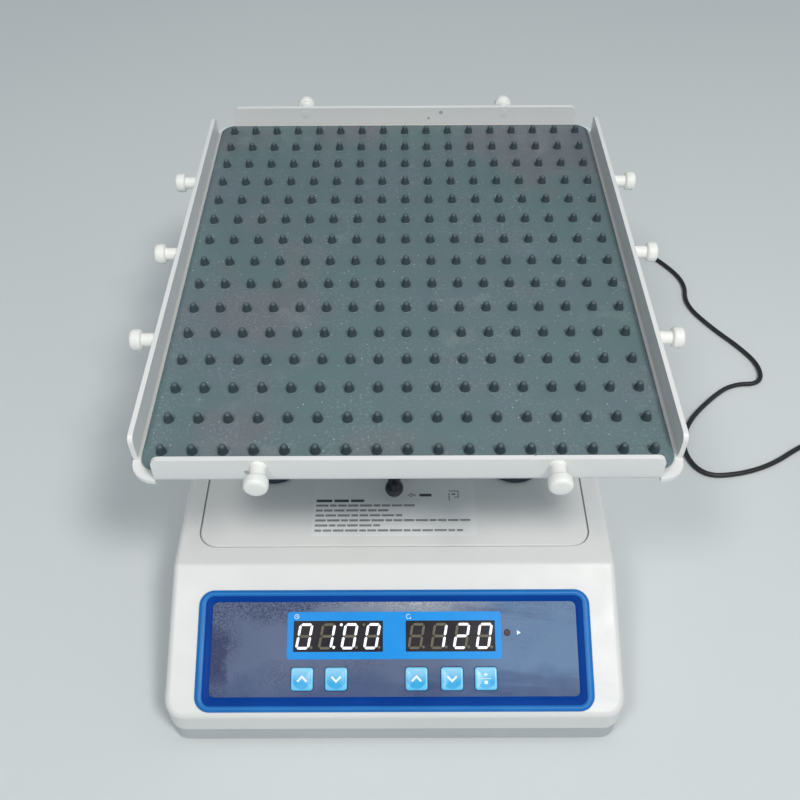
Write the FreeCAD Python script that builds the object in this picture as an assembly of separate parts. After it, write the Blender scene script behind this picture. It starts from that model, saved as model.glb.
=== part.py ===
import FreeCAD, Part
import math
import os
from FreeCAD import Placement, Rotation, Vector

# Waving rotator: a bench shaker whose tray nutates on a tilted drive head.
# Millimetres. +X is the operator's right, +Y the back, +Z up, z = 0 the bench.
# Everything is modelled about the drive axis (x = 0, y = 0) and moved by axis_y
# at the end, so that the frame's origin lies under the middle of the outline.

# Base, lengths from the drive axis
front_reach = 209.0
back_depth = 139.0
base_x = -7.5
base_half_top = 127.0
base_flare = 0.6
base_half_low = base_half_top + base_flare
base_top = 72.0
shell_low = 19.0
panel_low = 34.8
panel_run = 74.1
corner_radius = 11.0
edge_round = 3.8
wall = 3.0

# Bottom pan, feet and the screws that close the base
pan_bottom = 5.0
pan_sheet = 1.5
pan_step = 0.5
pan_overlap = 6.0
seam_gap = 0.3
foot_radius = 11.0
foot_inset = 32.0
foot_recess_radius = 5.2
foot_recess = 2.4
foot_screw_radius = 2.5
foot_screw_head = 4.6
foot_screw_rise = 5.0
foot_nut_across = 8.0
foot_nut_height = 4.0
boss_radius = 4.5
boss_inset = 20.0
shell_screw_radius = 2.0
shell_screw_head = 3.8
shell_screw_rise = 11.5

# Inset top cover; the strips are what the housing keeps round it
cover_strip_side = 12.8
cover_strip_front = 12.2
cover_strip_back = 16.3
cover_radius = 11.0
cover_groove = 0.8
ledge_width = 8.0
ledge_depth = 3.0
ledge_rim = 6.0
cover_screw_radius = 1.5
cover_screw_head = 2.9
cover_screw_bite = 2.0
label_width = 98.0
label_margin = 7.2
label_gap = 1.5
label_sheet = 0.2

# Tray
tray_width = 263.0
tray_length = 314.5
tray_sheet = 2.5
tray_corner = 11.8
rail_height = 17.5
rail_setback = 12.8
rail_round = 4.0
centre_hole_radius = 14.0

# Dimpled mat
mat_gap_side = 3.0
mat_gap_end = 2.75
mat_sheet = 2.8
mat_corner = 10.0
mat_margin = 8.0
dimple_pitch_x = 14.7
dimple_pitch_y = 20.35
dimple_base_radius = 3.1
dimple_tip_radius = 1.9
dimple_height = 5.0

# Band pegs on the rails
peg_neck_radius = 3.6
peg_neck_length = 7.2
peg_head_radius = 5.75
peg_head_length = 6.2
peg_round = 1.8
peg_foot = 0.4
peg_drop = 4.8
front_peg_spread = 69.0
side_peg_pitch = 72.0
peg_screw_radius = 1.6
peg_screw_depth = 7.0
peg_screw_head = 3.1
peg_screw_cone = 1.5

# Drive plate, isolators and bearing housing
running = 0.05
plate_sheet = 3.0
plate_margin_x = 35.0
plate_margin_y = 20.0
isolator_x = 74.8
isolator_y = 60.2
isolator_pad = 4.0
isolator_pad_radius = 15.0
isolator_neck_radius = 11.0
isolator_flange_radius = 17.5
isolator_flange = 4.0
isolator_bolt_radius = 4.0
isolator_bolt_head = 6.5
isolator_bolt_rise = 5.2
isolator_washer_radius = 9.5
isolator_washer = 1.8
isolator_nut_across = 12.0
isolator_nut_height = 5.0
plate_corner = 9.0
housing_radius = 20.0
housing_bore = 12.5
housing_rise = 7.0
housing_flange = 4.0
housing_flange_radius = 33.0
housing_screw_radius = 2.0
bearing_radius = 14.0
bearing_width = 8.0
bearing_recess = 1.0
housing_screw_head = 3.4
cover_clearance = 2.0

# Rotating head
shaft_radius = 6.0
pulley_radius = 36.0
pulley_flange = 1.2
pulley_hub_radius = 12.0
pulley_hub_rise = 5.5
pulley_hole_radius = 6.5
belt_width = 6.0
belt_sheet = 1.2
head_radius = 30.0
head_disc = 8.5
hub_radius = 15.0
ring_gap = 2.5
ring_radius = 42.0
ring_sheet = 5.0
notch_count = 12
notch_half = 3.1
ear_sheet = 8.0
ear_radius = 13.0
pin_reach = 1.5
pivot_rise = 45.0
tilt_range = 9.0
pin_radius = 4.0
block_half = 15.0
block_shoulder = 4.0

# Motor
motor_x = -72.0
motor_side = 42.3
motor_height = 28.0
motor_gap = 2.0
motor_corner = 4.0
motor_plate_corner = 6.0
motor_plate_half = 33.0
motor_plate_gap = 1.5
motor_boss_radius = 11.0
motor_pulley_radius = 9.0
motor_shaft_radius = 2.5
motor_shaft_reach = 20.0
post_radius = 4.0
post_offset = 27.0

# Nutation bearing and carrier
spigot_radius = 15.0
nutation_radius = 27.5
nutation_split = 21.0
nutation_rise = 18.0
nutation_width = 13.0
hub_wall = 5.5
carrier_gap = 3.0
carrier_half_x = 75.0
carrier_sheet = 3.0
carrier_lip = 12.0
carrier_corner = 12.0
lip_end = 14.0
washer_room = 3.0
washer_radius = 17.0
washer_sheet = 2.2
screw_head_radius = 8.0
screw_head_gap = 0.6
hex_across = 6.0
hex_depth = 3.5
carrier_screw_inset = 15.0
carrier_screw_radius = 2.0
carrier_screw_head = 4.2
carrier_screw_length = 9.0

# Guide that keeps the tray from turning
post_inset = 22.7
post_sheet = 3.0
post_half = 20.0
post_foot = 14.0
post_gusset = 40.0
post_round = 5.0
post_screw_inset = 6.0
post_rise = 17.0
slot_clearance = 1.0
arm_half = 9.0
arm_gap = 11.0
arm_foot = 20.0
pin_head = 2.5
pin_head_length = 3.0
pin_past_post = 5.0

# Angle lock, on the middle line of the base
lock_x = base_x
lock_travel = 10.0
lock_rod_radius = 2.75
lock_tip_gap = 3.0
lock_clearance = 1.0
lock_collar = 2.0
lock_collar_radius = 4.5
lock_guide_half = 12.0
lock_guide_length = 17.5
lock_guide_height = 16.0
lock_guide_corner = 3.0
guide_screw_inset = 4.0
knob_radius = 5.5
knob_gap = 0.8
knob_socket = 1.2

# Control panel, in the slope's own frame: x across, y up the slope, z out of it
bezel_margin = 16.7
bezel_low = 2.4
bezel_top_gap = 14.7
bezel_corner = 8.5
bezel_side = 7.2
bezel_end = 6.2
bezel_lap = 3.0
bezel_proud = 2.2
collar_depth = 7.0
film_corner = 4.0
film_depth = 0.8
film_sheet = 0.4
film_gap = 0.3
backing_sheet = 1.6
patch_margin = 3.5
patch_above = 4.9
patch_below = 4.0
patch_sheet = 0.15
window_x = 31.5
window_rise = 31.9
window_height = 16.9
module_height = 19.0
module_depth = 8.0
digit_pitch = 12.7
digit_height = 14.2
digit_width = 7.9
digit_slant = 0.176
segment_width = 1.4
segment_gap = 0.25
segment_sheet = 0.2
dot_radius = 0.8
low_dot = (3.9, -6.0)
high_dot = (-4.7, 6.3)
key_size = 12.4
key_corner = 1.7
key_rise = 17.4
key_places = {
    "time_up": -51.2,
    "time_down": -32.3,
    "speed_up": 12.3,
    "speed_down": 32.0,
    "run_stop": 50.8,
}
key_dome = 1.1
key_root = 0.6
key_stem_radius = 2.0
key_travel = 0.4
lamp_gap = 3.3
lamp_rise = 42.1
lamp_radius = 1.8
board_drop = 11.0
board_sheet = 1.6
tact_side = 6.0
tact_height = 3.4
tact_plunger_radius = 1.7
tact_plunger_rise = 0.8
board_post_inset_x = 24.0
board_post_inset_y = 17.0
board_post_radius = 2.6
module_socket = (36.0, 10.0)

# Rear wall fittings, electronics
socket_x = 60.0
socket_z = 36.0
socket_radius = 5.8
socket_rim = 2.2
socket_lip = 1.8
socket_nut = 3.0
socket_depth = 18.0
jack_radius = 2.85
jack_depth = 12.0
jack_pin_radius = 1.0
switch_x = 12.0
switch_z = 40.0
switch_half_x = 9.3
switch_half_z = 12.3
switch_rim = 1.2
switch_lip = 1.6
switch_depth = 16.0
rocker_half_x = 6.0
rocker_half_z = 8.6
rocker_tilt = 8.0
rocker_depth = 1.5
rocker_pin_radius = 1.0
supply_gap_side = 3.0
supply_gap_back = 25.0
supply_half_x = 38.0
supply_half_y = 30.0
supply_rise = 8.0
standoff_radius = 3.0
capacitor_radius = 5.0
capacitor_height = 14.0
capacitor_pitch = 16.0
capacitor_offset = 6.0
standoff_inset = 4.0
driver_block = (30.0, 16.0, 10.0)
driver_place = (-11.0, -12.0)
terminal_block = (18.0, 8.0, 7.0)
terminal_place = (21.0, -12.0)

# Lead from the low-voltage adapter; the route's points lie on the bench
cord_radius = 1.8
cord_floor = 1.9
plug_reach = 37.2
plug_grip = 17.0
plug_radius = 5.5
barrel_radius = 2.75
barrel_bore = 1.3
barrel_length = 11.0
cord_route = [
    (60, 178, 36), (60, 199, 35), (62, 219, 24), (69, 236, 9), (84, 249, cord_floor),
    (108, 262, cord_floor), (140, 273, cord_floor), (172, 271, cord_floor),
    (203, 256, cord_floor), (230, 228, cord_floor), (247, 197, cord_floor),
    (240, 168, cord_floor), (256, 138, cord_floor), (273, 115, cord_floor),
    (284, 93, cord_floor), (280, 73, cord_floor), (257, 73, cord_floor),
    (237, 58, cord_floor), (213, 33, cord_floor), (203, 6, cord_floor),
    (213, -18, cord_floor), (239, -17, cord_floor), (266, -8, cord_floor),
    (291, 9, cord_floor), (313, 18, cord_floor), (331, 16, cord_floor),
]
coil_radius = 20.0
coil_band = 6.0
coil_height = 11.0
coil_round = 2.0
adapter_length = 58.0
adapter_width = 38.0
adapter_height = 27.0
adapter_round = 4.0
relief_length = 11.0
relief_radius = 4.2
relief_tip = 2.4
prong_spread = 6.35
prong_length = 16.0
prong_half_sheet = 0.75
prong_half_width = 3.2

# Levels and places that follow from the sizes above
axis_y = (front_reach - tray_length / 2 - peg_neck_length - peg_head_length) / 2
base_middle = (back_depth - front_reach) / 2
base_half_length = (back_depth + front_reach) / 2
pan_floor = pan_bottom + pan_sheet
cover_low = base_top - wall
cover_half_x = base_half_top - cover_strip_side
cover_front = front_reach - panel_run - cover_strip_front
cover_back = back_depth - cover_strip_back
cover_half_y = (cover_front + cover_back) / 2
cover_y = (cover_back - cover_front) / 2
plate_top = cover_low - isolator_pad
plate_low = plate_top - plate_sheet
motor_low = plate_low - motor_gap - motor_height
motor_plate_low = motor_low - plate_sheet
pulley_high = motor_plate_low - motor_plate_gap
belt_low = pulley_high - pulley_flange - seam_gap - belt_width
pulley_low = belt_low - seam_gap - pulley_flange
housing_low = pulley_high + pulley_hub_rise + bearing_recess
housing_top = base_top + housing_rise
ring_low = housing_top + ring_gap
head_low = ring_low + ring_sheet
head_top = head_low + head_disc
pivot_z = head_top + pivot_rise
nutation_low = pivot_z + nutation_rise
nutation_top = nutation_low + nutation_width
carrier_low = nutation_top + carrier_gap
tray_bottom = carrier_low + carrier_sheet
mat_low = tray_bottom + tray_sheet
mat_top = mat_low + mat_sheet
rail_top = tray_bottom + rail_height
peg_z = rail_top - peg_drop
post_y = cover_back - post_inset
post_top = pivot_z + post_rise
arm_face = post_y - arm_gap
carrier_half_y = arm_face + 1.0
lock_z = ring_low + ring_sheet / 2
notch_depth = lock_travel - lock_tip_gap + lock_clearance
lock_guide_back = ring_radius + lock_travel + lock_collar + 2 * lock_clearance
lock_guide_front = lock_guide_back + lock_guide_length
label_depth = cover_front - label_margin - lock_guide_front - label_gap
knob_y = lock_guide_front + lock_travel + knob_radius + knob_gap
panel_angle = math.degrees(math.atan2(base_top - panel_low, panel_run))
panel_length = math.hypot(base_top - panel_low, panel_run)
bezel_half = base_half_top - bezel_margin
bezel_high = panel_length - bezel_top_gap
bezel_middle = (bezel_low + bezel_high) / 2
bezel_half_y = (bezel_high - bezel_low) / 2
key_y = bezel_low + key_rise
window_low = bezel_low + window_rise
window_high = window_low + window_height
window_middle = (window_low + window_high) / 2
module_half = 2 * digit_pitch - seam_gap
window_half = module_half
lamp_x = window_x + window_half + patch_margin + lamp_gap
lamp_y = bezel_low + lamp_rise
board_top = -film_depth - board_drop
supply_x = base_x + base_half_top - foot_inset - foot_screw_head - supply_gap_side - supply_half_x
supply_y = back_depth - supply_gap_back - supply_half_y
supply_z = pan_floor + supply_rise


def block(x0, x1, y0, y1, z0, z1):
    """Box between two corners."""
    return Part.makeBox(x1 - x0, y1 - y0, z1 - z0, Vector(x0, y0, z0))


def rod(radius, start, end):
    """Round bar from one point to another."""
    start = Vector(*start)
    way = Vector(*end) - start
    return Part.makeCylinder(radius, way.Length, start, way)


def ring(outer, inner, z0, z1, x=0.0, y=0.0):
    """Upright tube with its axis at x, y."""
    solid = rod(outer, (x, y, z0), (x, y, z1))
    return solid.cut(rod(inner, (x, y, z0 - 1), (x, y, z1 + 1)))


def turned(profile, x=0.0, y=0.0):
    """Solid turned about an upright axis from radius and height pairs."""
    points = [Vector(r, 0, z) for r, z in profile]
    face = Part.Face(Part.makePolygon(points + points[:1]))
    solid = face.revolve(Vector(0, 0, 0), Vector(0, 0, 1), 360)
    return solid.translated(Vector(x, y, 0))


def hexagon(across, z0, z1, x=0.0, y=0.0):
    """Upright six-sided prism, measured across its flats."""
    radius = across / math.sqrt(3)
    turns = [math.radians(60 * i) for i in range(6)]
    ring_points = [Vector(x + radius * math.cos(a), y + radius * math.sin(a), z0) for a in turns]
    face = Part.Face(Part.makePolygon(ring_points + ring_points[:1]))
    return face.extrude(Vector(0, 0, z1 - z0))


def nut(across, thick, bore, z, x, y):
    """Hexagon nut that lies on z."""
    return hexagon(across, z, z + thick, x, y).cut(rod(bore, (x, y, z - 1), (x, y, z + thick + 1)))


def screw(radius, head, thick, seat, tip, x=0.0, y=0.0):
    """Round-headed screw whose head stands on seat, away from its tip."""
    out = thick if tip < seat else -thick
    profile = [(0, tip), (radius, tip), (radius, seat), (head, seat), (head, seat + 0.6 * out),
               (0.85 * head, seat + out), (0, seat + out)]
    return turned(profile, x, y)


def prism(outline, along):
    """Solid from a closed outline of points, pushed along a vector."""
    points = [Vector(*p) for p in outline]
    return Part.Face(Part.makePolygon(points + points[:1])).extrude(Vector(*along))


def rounded(solid, radius, chosen):
    """Rounds the straight edges for which chosen(edge) is true."""
    edges = [edge for edge in solid.Edges if len(edge.Vertexes) == 2 and chosen(edge)]
    return solid.makeFillet(radius, edges)


def lies_along(edge, axis):
    """True where both ends differ along one axis only (0 x, 1 y, 2 z)."""
    a, b = (v.Point for v in edge.Vertexes)
    return all(abs(a[i] - b[i]) < 1e-6 for i in range(3) if i != axis)


def plate(half_x, half_y, radius, z0, z1, x=0.0, y=0.0):
    """Flat plate with rounded corners, centred at x, y."""
    solid = block(x - half_x, x + half_x, y - half_y, y + half_y, z0, z1)
    return rounded(solid, radius, lambda edge: lies_along(edge, 2))


def joined(shapes):
    """One solid from pieces that touch or overlap."""
    return shapes[0].multiFuse(shapes[1:]).removeSplitter()


def drilled(solid, tools):
    """A solid with every tool cut from it."""
    return solid.cut(Part.makeCompound(tools)) if tools else solid


def corners(half_x, half_y, x=0.0, y=0.0):
    """The four corner places of a rectangle."""
    return [(x + sx * half_x, y + sy * half_y) for sx in (-1, 1) for sy in (-1, 1)]


def base_half(z):
    """Half width of the drafted base at a height."""
    share = (z - shell_low) / (base_top - shell_low)
    return base_half_low + (base_half_top - base_half_low) * share


def base_outline(inset, z):
    """Closed wire of the base at a height, set in from its outer face."""
    radius = corner_radius - inset
    half = base_half(z) - inset
    y0 = -front_reach + inset
    y1 = back_depth - inset
    arc = radius * (1 - math.sqrt(0.5))
    edges = []
    turns = [
        (base_x + half, y0, -1, 1), (base_x + half, y1, -1, -1),
        (base_x - half, y1, 1, -1), (base_x - half, y0, 1, 1),
    ]
    ends = []
    for i, (x, y, sx, sy) in enumerate(turns):
        on_x = Vector(x + sx * radius, y, z)
        on_y = Vector(x, y + sy * radius, z)
        middle = Vector(x + sx * arc, y + sy * arc, z)
        first, last = (on_x, on_y) if i % 2 == 0 else (on_y, on_x)
        edges.append(Part.Arc(first, middle, last).toShape())
        ends.append((first, last))
    for i in range(4):
        edges.append(Part.LineSegment(ends[i][1], ends[(i + 1) % 4][0]).toShape())
    return Part.Wire(Part.__sortEdges__(edges))


def base_form(inset, z0, z1):
    """Drafted block of the base with its sloping front, set in all round."""
    body = Part.makeLoft([base_outline(inset, z0), base_outline(inset, z1)], True, True)
    slope = math.radians(panel_angle)
    beyond = 60.0
    low = panel_low - inset / math.cos(slope)
    wide = base_half_low + beyond
    front = -front_reach - beyond
    back = -front_reach + panel_run + beyond
    high = base_top + 2 * beyond
    away = prism(
        [
            (base_x - wide, front, low - beyond * math.tan(slope)),
            (base_x - wide, back, low + (panel_run + beyond) * math.tan(slope)),
            (base_x - wide, back, high),
            (base_x - wide, front, high),
        ],
        (2 * wide, 0, 0),
    )
    return body.cut(away)


def on_panel(shape):
    """Moves a shape from the slope's frame to its place on the base."""
    turn = Rotation(Vector(1, 0, 0), panel_angle)
    spot = Placement(Vector(base_x, -front_reach, panel_low), turn)
    shape.Placement = spot.multiply(shape.Placement)
    return shape


# Base shell, cover and pan
def make_upper_housing():
    shell = rounded(base_form(0, shell_low, base_top), edge_round, is_shell_rim)
    shell = shell.cut(base_form(wall, shell_low - 1, cover_low))
    open_x = cover_half_x + cover_groove
    open_y = cover_half_y + cover_groove
    shell = shell.cut(plate(open_x, open_y, cover_radius + cover_groove,
                            cover_low - 1, base_top + 1, base_x, cover_y))
    ledge = plate(open_x + ledge_rim, open_y + ledge_rim, cover_radius + ledge_rim,
                  cover_low - ledge_depth, cover_low, base_x, cover_y)
    ledge = ledge.cut(plate(open_x - ledge_width, open_y - ledge_width, cover_radius,
                            cover_low - ledge_depth - 1, cover_low + 1, base_x, cover_y))
    posts = []
    for x, y in shell_screw_places():
        post = rod(boss_radius, (x, y, pan_floor), (x, y, cover_low - ledge_depth))
        posts.append(post.common(base_form(wall / 2, pan_bottom, base_top - 1)))
    shell = joined([shell, ledge] + posts)
    tools = [rod(shell_screw_radius, (x, y, 0), (x, y, pan_floor + shell_screw_rise + 0.5))
             for x, y in shell_screw_places()]
    tools += [rod(cover_screw_radius, (x, y, cover_low - ledge_depth - 1), (x, y, cover_low + 1))
              for x, y in cover_screw_places()]
    tools.append(on_panel(plate(bezel_half - bezel_lap, bezel_half_y - bezel_lap, bezel_corner - bezel_lap,
                                -collar_depth - 1, collar_depth + 1, 0, bezel_middle)))
    tools.append(rod(socket_radius + running, (socket_x, back_depth - wall - 5, socket_z),
                     (socket_x, back_depth + 1, socket_z)))
    tools.append(block(switch_x - switch_half_x, switch_x + switch_half_x, back_depth - wall - 5,
                       back_depth + 1, switch_z - switch_half_z, switch_z + switch_half_z))
    return drilled(shell, tools)


def is_shell_rim(edge):
    """True on the outline of the top and of the sloping front."""
    heights = [v.Z for v in edge.Vertexes]
    return min(heights) > panel_low - 1e-3


def shell_screw_places():
    """Where the pan's four long screws rise into the shell."""
    return corners(base_half_top - boss_inset, base_half_length - boss_inset, base_x, base_middle)


def foot_places():
    return corners(base_half_top - foot_inset, base_half_length - foot_inset, base_x, base_middle)


def make_bottom_pan():
    top = shell_low + pan_overlap
    inset = wall + seam_gap
    half = base_half(top) - inset
    half_y = base_half_length - inset
    radius = corner_radius - inset
    lip = plate(half, half_y, radius, pan_bottom, top, base_x, base_middle)
    step = shell_low - seam_gap
    skirt_half = base_half_low - pan_step
    skirt_half_y = base_half_length - pan_step
    skirt_radius = corner_radius - pan_step
    skirt = plate(skirt_half, skirt_half_y, skirt_radius, pan_bottom, step, base_x, base_middle)
    pan = lip.fuse(skirt).removeSplitter()
    pan = pan.cut(plate(half - pan_sheet, half_y - pan_sheet, radius - pan_sheet, pan_floor, top + 1,
                        base_x, base_middle))
    pan = pan.cut(plate(skirt_half - pan_sheet, skirt_half_y - pan_sheet, skirt_radius - pan_sheet, pan_floor,
                        step - pan_sheet, base_x, base_middle))
    tools = [rod(shell_screw_radius, (x, y, 0), (x, y, pan_floor + 1)) for x, y in shell_screw_places()]
    tools += [rod(foot_screw_radius, (x, y, 0), (x, y, pan_floor + 1)) for x, y in foot_places()]
    return drilled(pan, tools)


def make_rubber_feet():
    profile = [
        (foot_screw_radius, pan_bottom), (foot_screw_radius, foot_recess), (foot_recess_radius, foot_recess),
        (foot_recess_radius, 0), (foot_radius - 1, 0), (foot_radius, 1), (foot_radius - 1, pan_bottom),
    ]
    return Part.makeCompound([turned(profile, x, y) for x, y in foot_places()])


def foot_and_shell_screws():
    solids = []
    for x, y in foot_places():
        solids.append(screw(foot_screw_radius, foot_screw_head, 1.8, foot_recess,
                            pan_floor + foot_screw_rise, x, y))
        solids.append(nut(foot_nut_across, foot_nut_height, foot_screw_radius, pan_floor, x, y))
    for x, y in shell_screw_places():
        solids.append(screw(shell_screw_radius, shell_screw_head, 2.2, pan_bottom,
                            pan_floor + shell_screw_rise, x, y))
    return solids


def make_top_cover():
    cover = plate(cover_half_x, cover_half_y, cover_radius, cover_low, base_top, base_x, cover_y)
    rim = [edge for edge in cover.Edges if all(abs(v.Z - base_top) < 1e-6 for v in edge.Vertexes)]
    cover = cover.makeChamfer(0.6, rim)
    tools = [rod(isolator_neck_radius + seam_gap, (x, y, cover_low - 1), (x, y, base_top + 1))
             for x, y in isolator_places()]
    tools.append(rod(housing_radius + cover_clearance, (0, 0, cover_low - 1), (0, 0, base_top + 1)))
    tools += [rod(cover_screw_radius, (x, y, cover_low - 1), (x, y, base_top + 1))
              for x, y in post_screw_places() + guide_screw_places()]
    tools += [rod(cover_screw_radius, (x, y, cover_low - 1), (x, y, cover_low + cover_screw_bite))
              for x, y in cover_screw_places()]
    return drilled(cover, tools)


def post_screw_places():
    """Screws that hold the guide post to the cover."""
    y = post_y + post_sheet + post_foot / 2 + 1
    return [(side * (post_half - post_screw_inset), y) for side in (-1, 1)]


def guide_screw_places():
    """Screws that hold the lock guide to the cover."""
    y = -(lock_guide_front + lock_guide_back) / 2
    return [(lock_x + side * (lock_guide_half - guide_screw_inset), y) for side in (-1, 1)]


def cover_screw_places():
    """Screws that hold the cover to the ledge, from below."""
    return corners(cover_half_x - ledge_width / 2, cover_half_y - cover_radius - ledge_width, base_x, cover_y)


def cover_screws():
    solids = []
    tip = cover_low - 3
    seat = base_top + post_sheet
    for x, y in post_screw_places():
        solids.append(screw(cover_screw_radius, cover_screw_head, 2.0, seat, tip, x, y))
    seat = base_top + lock_guide_height
    for x, y in guide_screw_places():
        solids.append(screw(cover_screw_radius, cover_screw_head, 2.0, seat, tip, x, y))
    for x, y in cover_screw_places():
        solids.append(screw(cover_screw_radius, cover_screw_head, 2.0, cover_low - ledge_depth,
                            cover_low + cover_screw_bite, x, y))
    return solids


def make_instruction_label():
    return plate(label_width / 2, label_depth / 2, 2.0, base_top, base_top + label_sheet,
                 base_x, -cover_front + label_margin + label_depth / 2)


# Suspended drive: plate, isolators, bearing housing, motor
def isolator_places():
    return corners(isolator_x, isolator_y, base_x)


def make_isolators():
    bore = isolator_bolt_radius
    top = base_top + isolator_flange
    profile = [
        (bore, plate_top), (isolator_pad_radius, plate_top), (isolator_pad_radius, cover_low),
        (isolator_neck_radius, cover_low), (isolator_neck_radius, base_top),
        (isolator_flange_radius - 0.6, base_top), (isolator_flange_radius, base_top + 0.8),
        (isolator_flange_radius, top - 1.4), (isolator_flange_radius - 1.4, top), (bore, top),
    ]
    return Part.makeCompound([turned(profile, x, y) for x, y in isolator_places()])


def make_isolator_bolts():
    top = base_top + isolator_flange
    seat = top + isolator_washer
    bolt = isolator_bolt_radius
    edge = isolator_washer_radius
    washer = [(bolt, top), (edge, top), (edge, top + 0.6 * isolator_washer), (edge - 1.2, seat), (bolt, seat)]
    nut_low = plate_low - isolator_nut_height
    solids = []
    for x, y in isolator_places():
        solids.append(turned(washer, x, y))
        solids.append(screw(bolt, isolator_bolt_head, isolator_bolt_rise, seat, nut_low - 1, x, y))
        solids.append(nut(isolator_nut_across, isolator_nut_height, bolt, nut_low, x, y))
    return Part.makeCompound(solids)


def motor_post_places():
    return corners(post_offset, post_offset, motor_x)


def housing_screw_places():
    radius = (housing_radius + housing_flange_radius) / 2 + 1
    turns = [math.radians(45 + 90 * i) for i in range(4)]
    return [(radius * math.cos(a), radius * math.sin(a)) for a in turns]


def make_drive_plate():
    sheet = plate(isolator_x + plate_margin_x, isolator_y + plate_margin_y, plate_corner,
                  plate_low, plate_top, base_x)
    tools = [rod(isolator_bolt_radius, (x, y, 0), (x, y, base_top))
             for x, y in isolator_places()]
    tools.append(rod(housing_radius, (0, 0, 0), (0, 0, base_top)))
    tools += [rod(housing_screw_radius, (x, y, 0), (x, y, base_top)) for x, y in housing_screw_places()]
    return drilled(sheet, tools)


def make_bearing_housing():
    flange_low = plate_low - housing_flange
    body = turned([
        (housing_bore, housing_low), (housing_radius, housing_low), (housing_radius, flange_low),
        (housing_flange_radius, flange_low), (housing_flange_radius, plate_low),
        (housing_radius, plate_low), (housing_radius, housing_top - 0.8),
        (housing_radius - 0.8, housing_top), (housing_bore, housing_top),
    ])
    seat = bearing_recess + bearing_width
    tools = [rod(bearing_radius, (0, 0, housing_low - 1), (0, 0, housing_low + seat)),
             rod(bearing_radius, (0, 0, housing_top - seat), (0, 0, housing_top + 1))]
    tools += [rod(housing_screw_radius, (x, y, 0), (x, y, base_top)) for x, y in housing_screw_places()]
    return drilled(body, tools)


def make_shaft_bearings():
    low = housing_low + bearing_recess
    high = housing_top - bearing_recess
    bore = shaft_radius + running
    return Part.makeCompound([ring(bearing_radius, bore, low, low + bearing_width),
                              ring(bearing_radius, bore, high - bearing_width, high)])


def drive_screws():
    seat = plate_low - housing_flange
    return [screw(housing_screw_radius, housing_screw_head, 2.4, seat, plate_top, x, y)
            for x, y in housing_screw_places()]


def make_base_screws():
    """Every small screw and nut of the base, each a piece of its own."""
    return Part.makeCompound(foot_and_shell_screws() + cover_screws() + drive_screws())


def make_motor_bracket():
    """Plate under the motor, hung on four posts."""
    sheet = plate(motor_plate_half, motor_plate_half, motor_plate_corner, motor_plate_low, motor_low,
                  motor_x)
    posts = [rod(post_radius, (x, y, motor_plate_low), (x, y, plate_low)) for x, y in motor_post_places()]
    return drilled(joined([sheet] + posts), [rod(motor_boss_radius, (motor_x, 0, 0), (motor_x, 0, base_top))])


def make_motor():
    half = motor_side / 2
    body = plate(half, half, motor_corner, motor_low, motor_low + motor_height, motor_x)
    body = joined([body, rod(motor_boss_radius, (motor_x, 0, motor_plate_low), (motor_x, 0, motor_low))])
    return drilled(body, [rod(motor_shaft_radius + running, (motor_x, 0, 0),
                              (motor_x, 0, pulley_high + motor_shaft_reach))])


def belt_region(grow, z0, z1):
    """Everything inside the belt's loop, grown by a distance."""
    big = pulley_radius + grow
    small = motor_pulley_radius + grow
    reach = abs(motor_x)
    lean = math.asin((big - small) / reach)
    outline = []
    for x, radius, side in ((0, big, 1), (motor_x, small, 1), (motor_x, small, -1), (0, big, -1)):
        outline.append((x - radius * math.sin(lean), side * radius * math.cos(lean), z0))
    web = prism(outline, (0, 0, z1 - z0))
    return joined([rod(big, (0, 0, z0), (0, 0, z1)), rod(small, (motor_x, 0, z0), (motor_x, 0, z1)), web])


def make_drive_belt():
    inside = belt_region(seam_gap, belt_low - 1, belt_low + belt_width + 1)
    return belt_region(seam_gap + belt_sheet, belt_low, belt_low + belt_width).cut(inside)


def pulley_profile(radius, bore):
    """Turned outline of a flanged belt pulley."""
    rim = radius + belt_sheet + 1.0
    return [
        (bore, pulley_low), (rim, pulley_low), (rim, pulley_low + pulley_flange),
        (radius, pulley_low + pulley_flange), (radius, pulley_high - pulley_flange),
        (rim, pulley_high - pulley_flange), (rim, pulley_high), (bore, pulley_high),
    ]


def make_motor_pulley():
    """The small pulley and the motor's shaft, two pieces that turn as one."""
    pulley = turned(pulley_profile(motor_pulley_radius, motor_shaft_radius), motor_x, 0)
    top = pulley_high + motor_shaft_reach
    shaft = rod(motor_shaft_radius, (motor_x, 0, pulley_low - 3), (motor_x, 0, top))
    return Part.makeCompound([pulley, shaft])


# Parts that turn with the drive shaft
def make_drive_shaft():
    return rod(shaft_radius, (0, 0, pulley_low - 2), (0, 0, head_top))


def make_drive_pulley():
    wheel = turned(pulley_profile(pulley_radius, shaft_radius))
    hub = ring(pulley_hub_radius, shaft_radius, pulley_high, pulley_high + pulley_hub_rise)
    middle = (pulley_hub_radius + pulley_radius) / 2 - 2
    turns = [math.radians(60 * i) for i in range(6)]
    places = [(middle * math.cos(a), middle * math.sin(a)) for a in turns]
    return drilled(joined([wheel, hub]), [rod(pulley_hole_radius, (x, y, 0), (x, y, housing_low))
                                       for x, y in places])


def make_drive_head():
    inner = block_half + seam_gap
    base = turned([
        (shaft_radius, ring_low - 1), (hub_radius, ring_low - 1), (hub_radius, head_low),
        (head_radius - 1, head_low), (head_radius, head_low + 1), (head_radius, head_top - 1),
        (head_radius - 1, head_top), (shaft_radius, head_top),
    ])
    parts = [base]
    for side in (-1, 1):
        x0, x1 = sorted((side * inner, side * (inner + ear_sheet)))
        parts.append(block(x0, x1, -ear_radius, ear_radius, head_top - 1, pivot_z))
        parts.append(rod(ear_radius, (x0, 0, pivot_z), (x1, 0, pivot_z)))
    return drilled(joined(parts), [rod(pin_radius, (-head_radius, 0, pivot_z), (head_radius, 0, pivot_z))])


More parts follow.
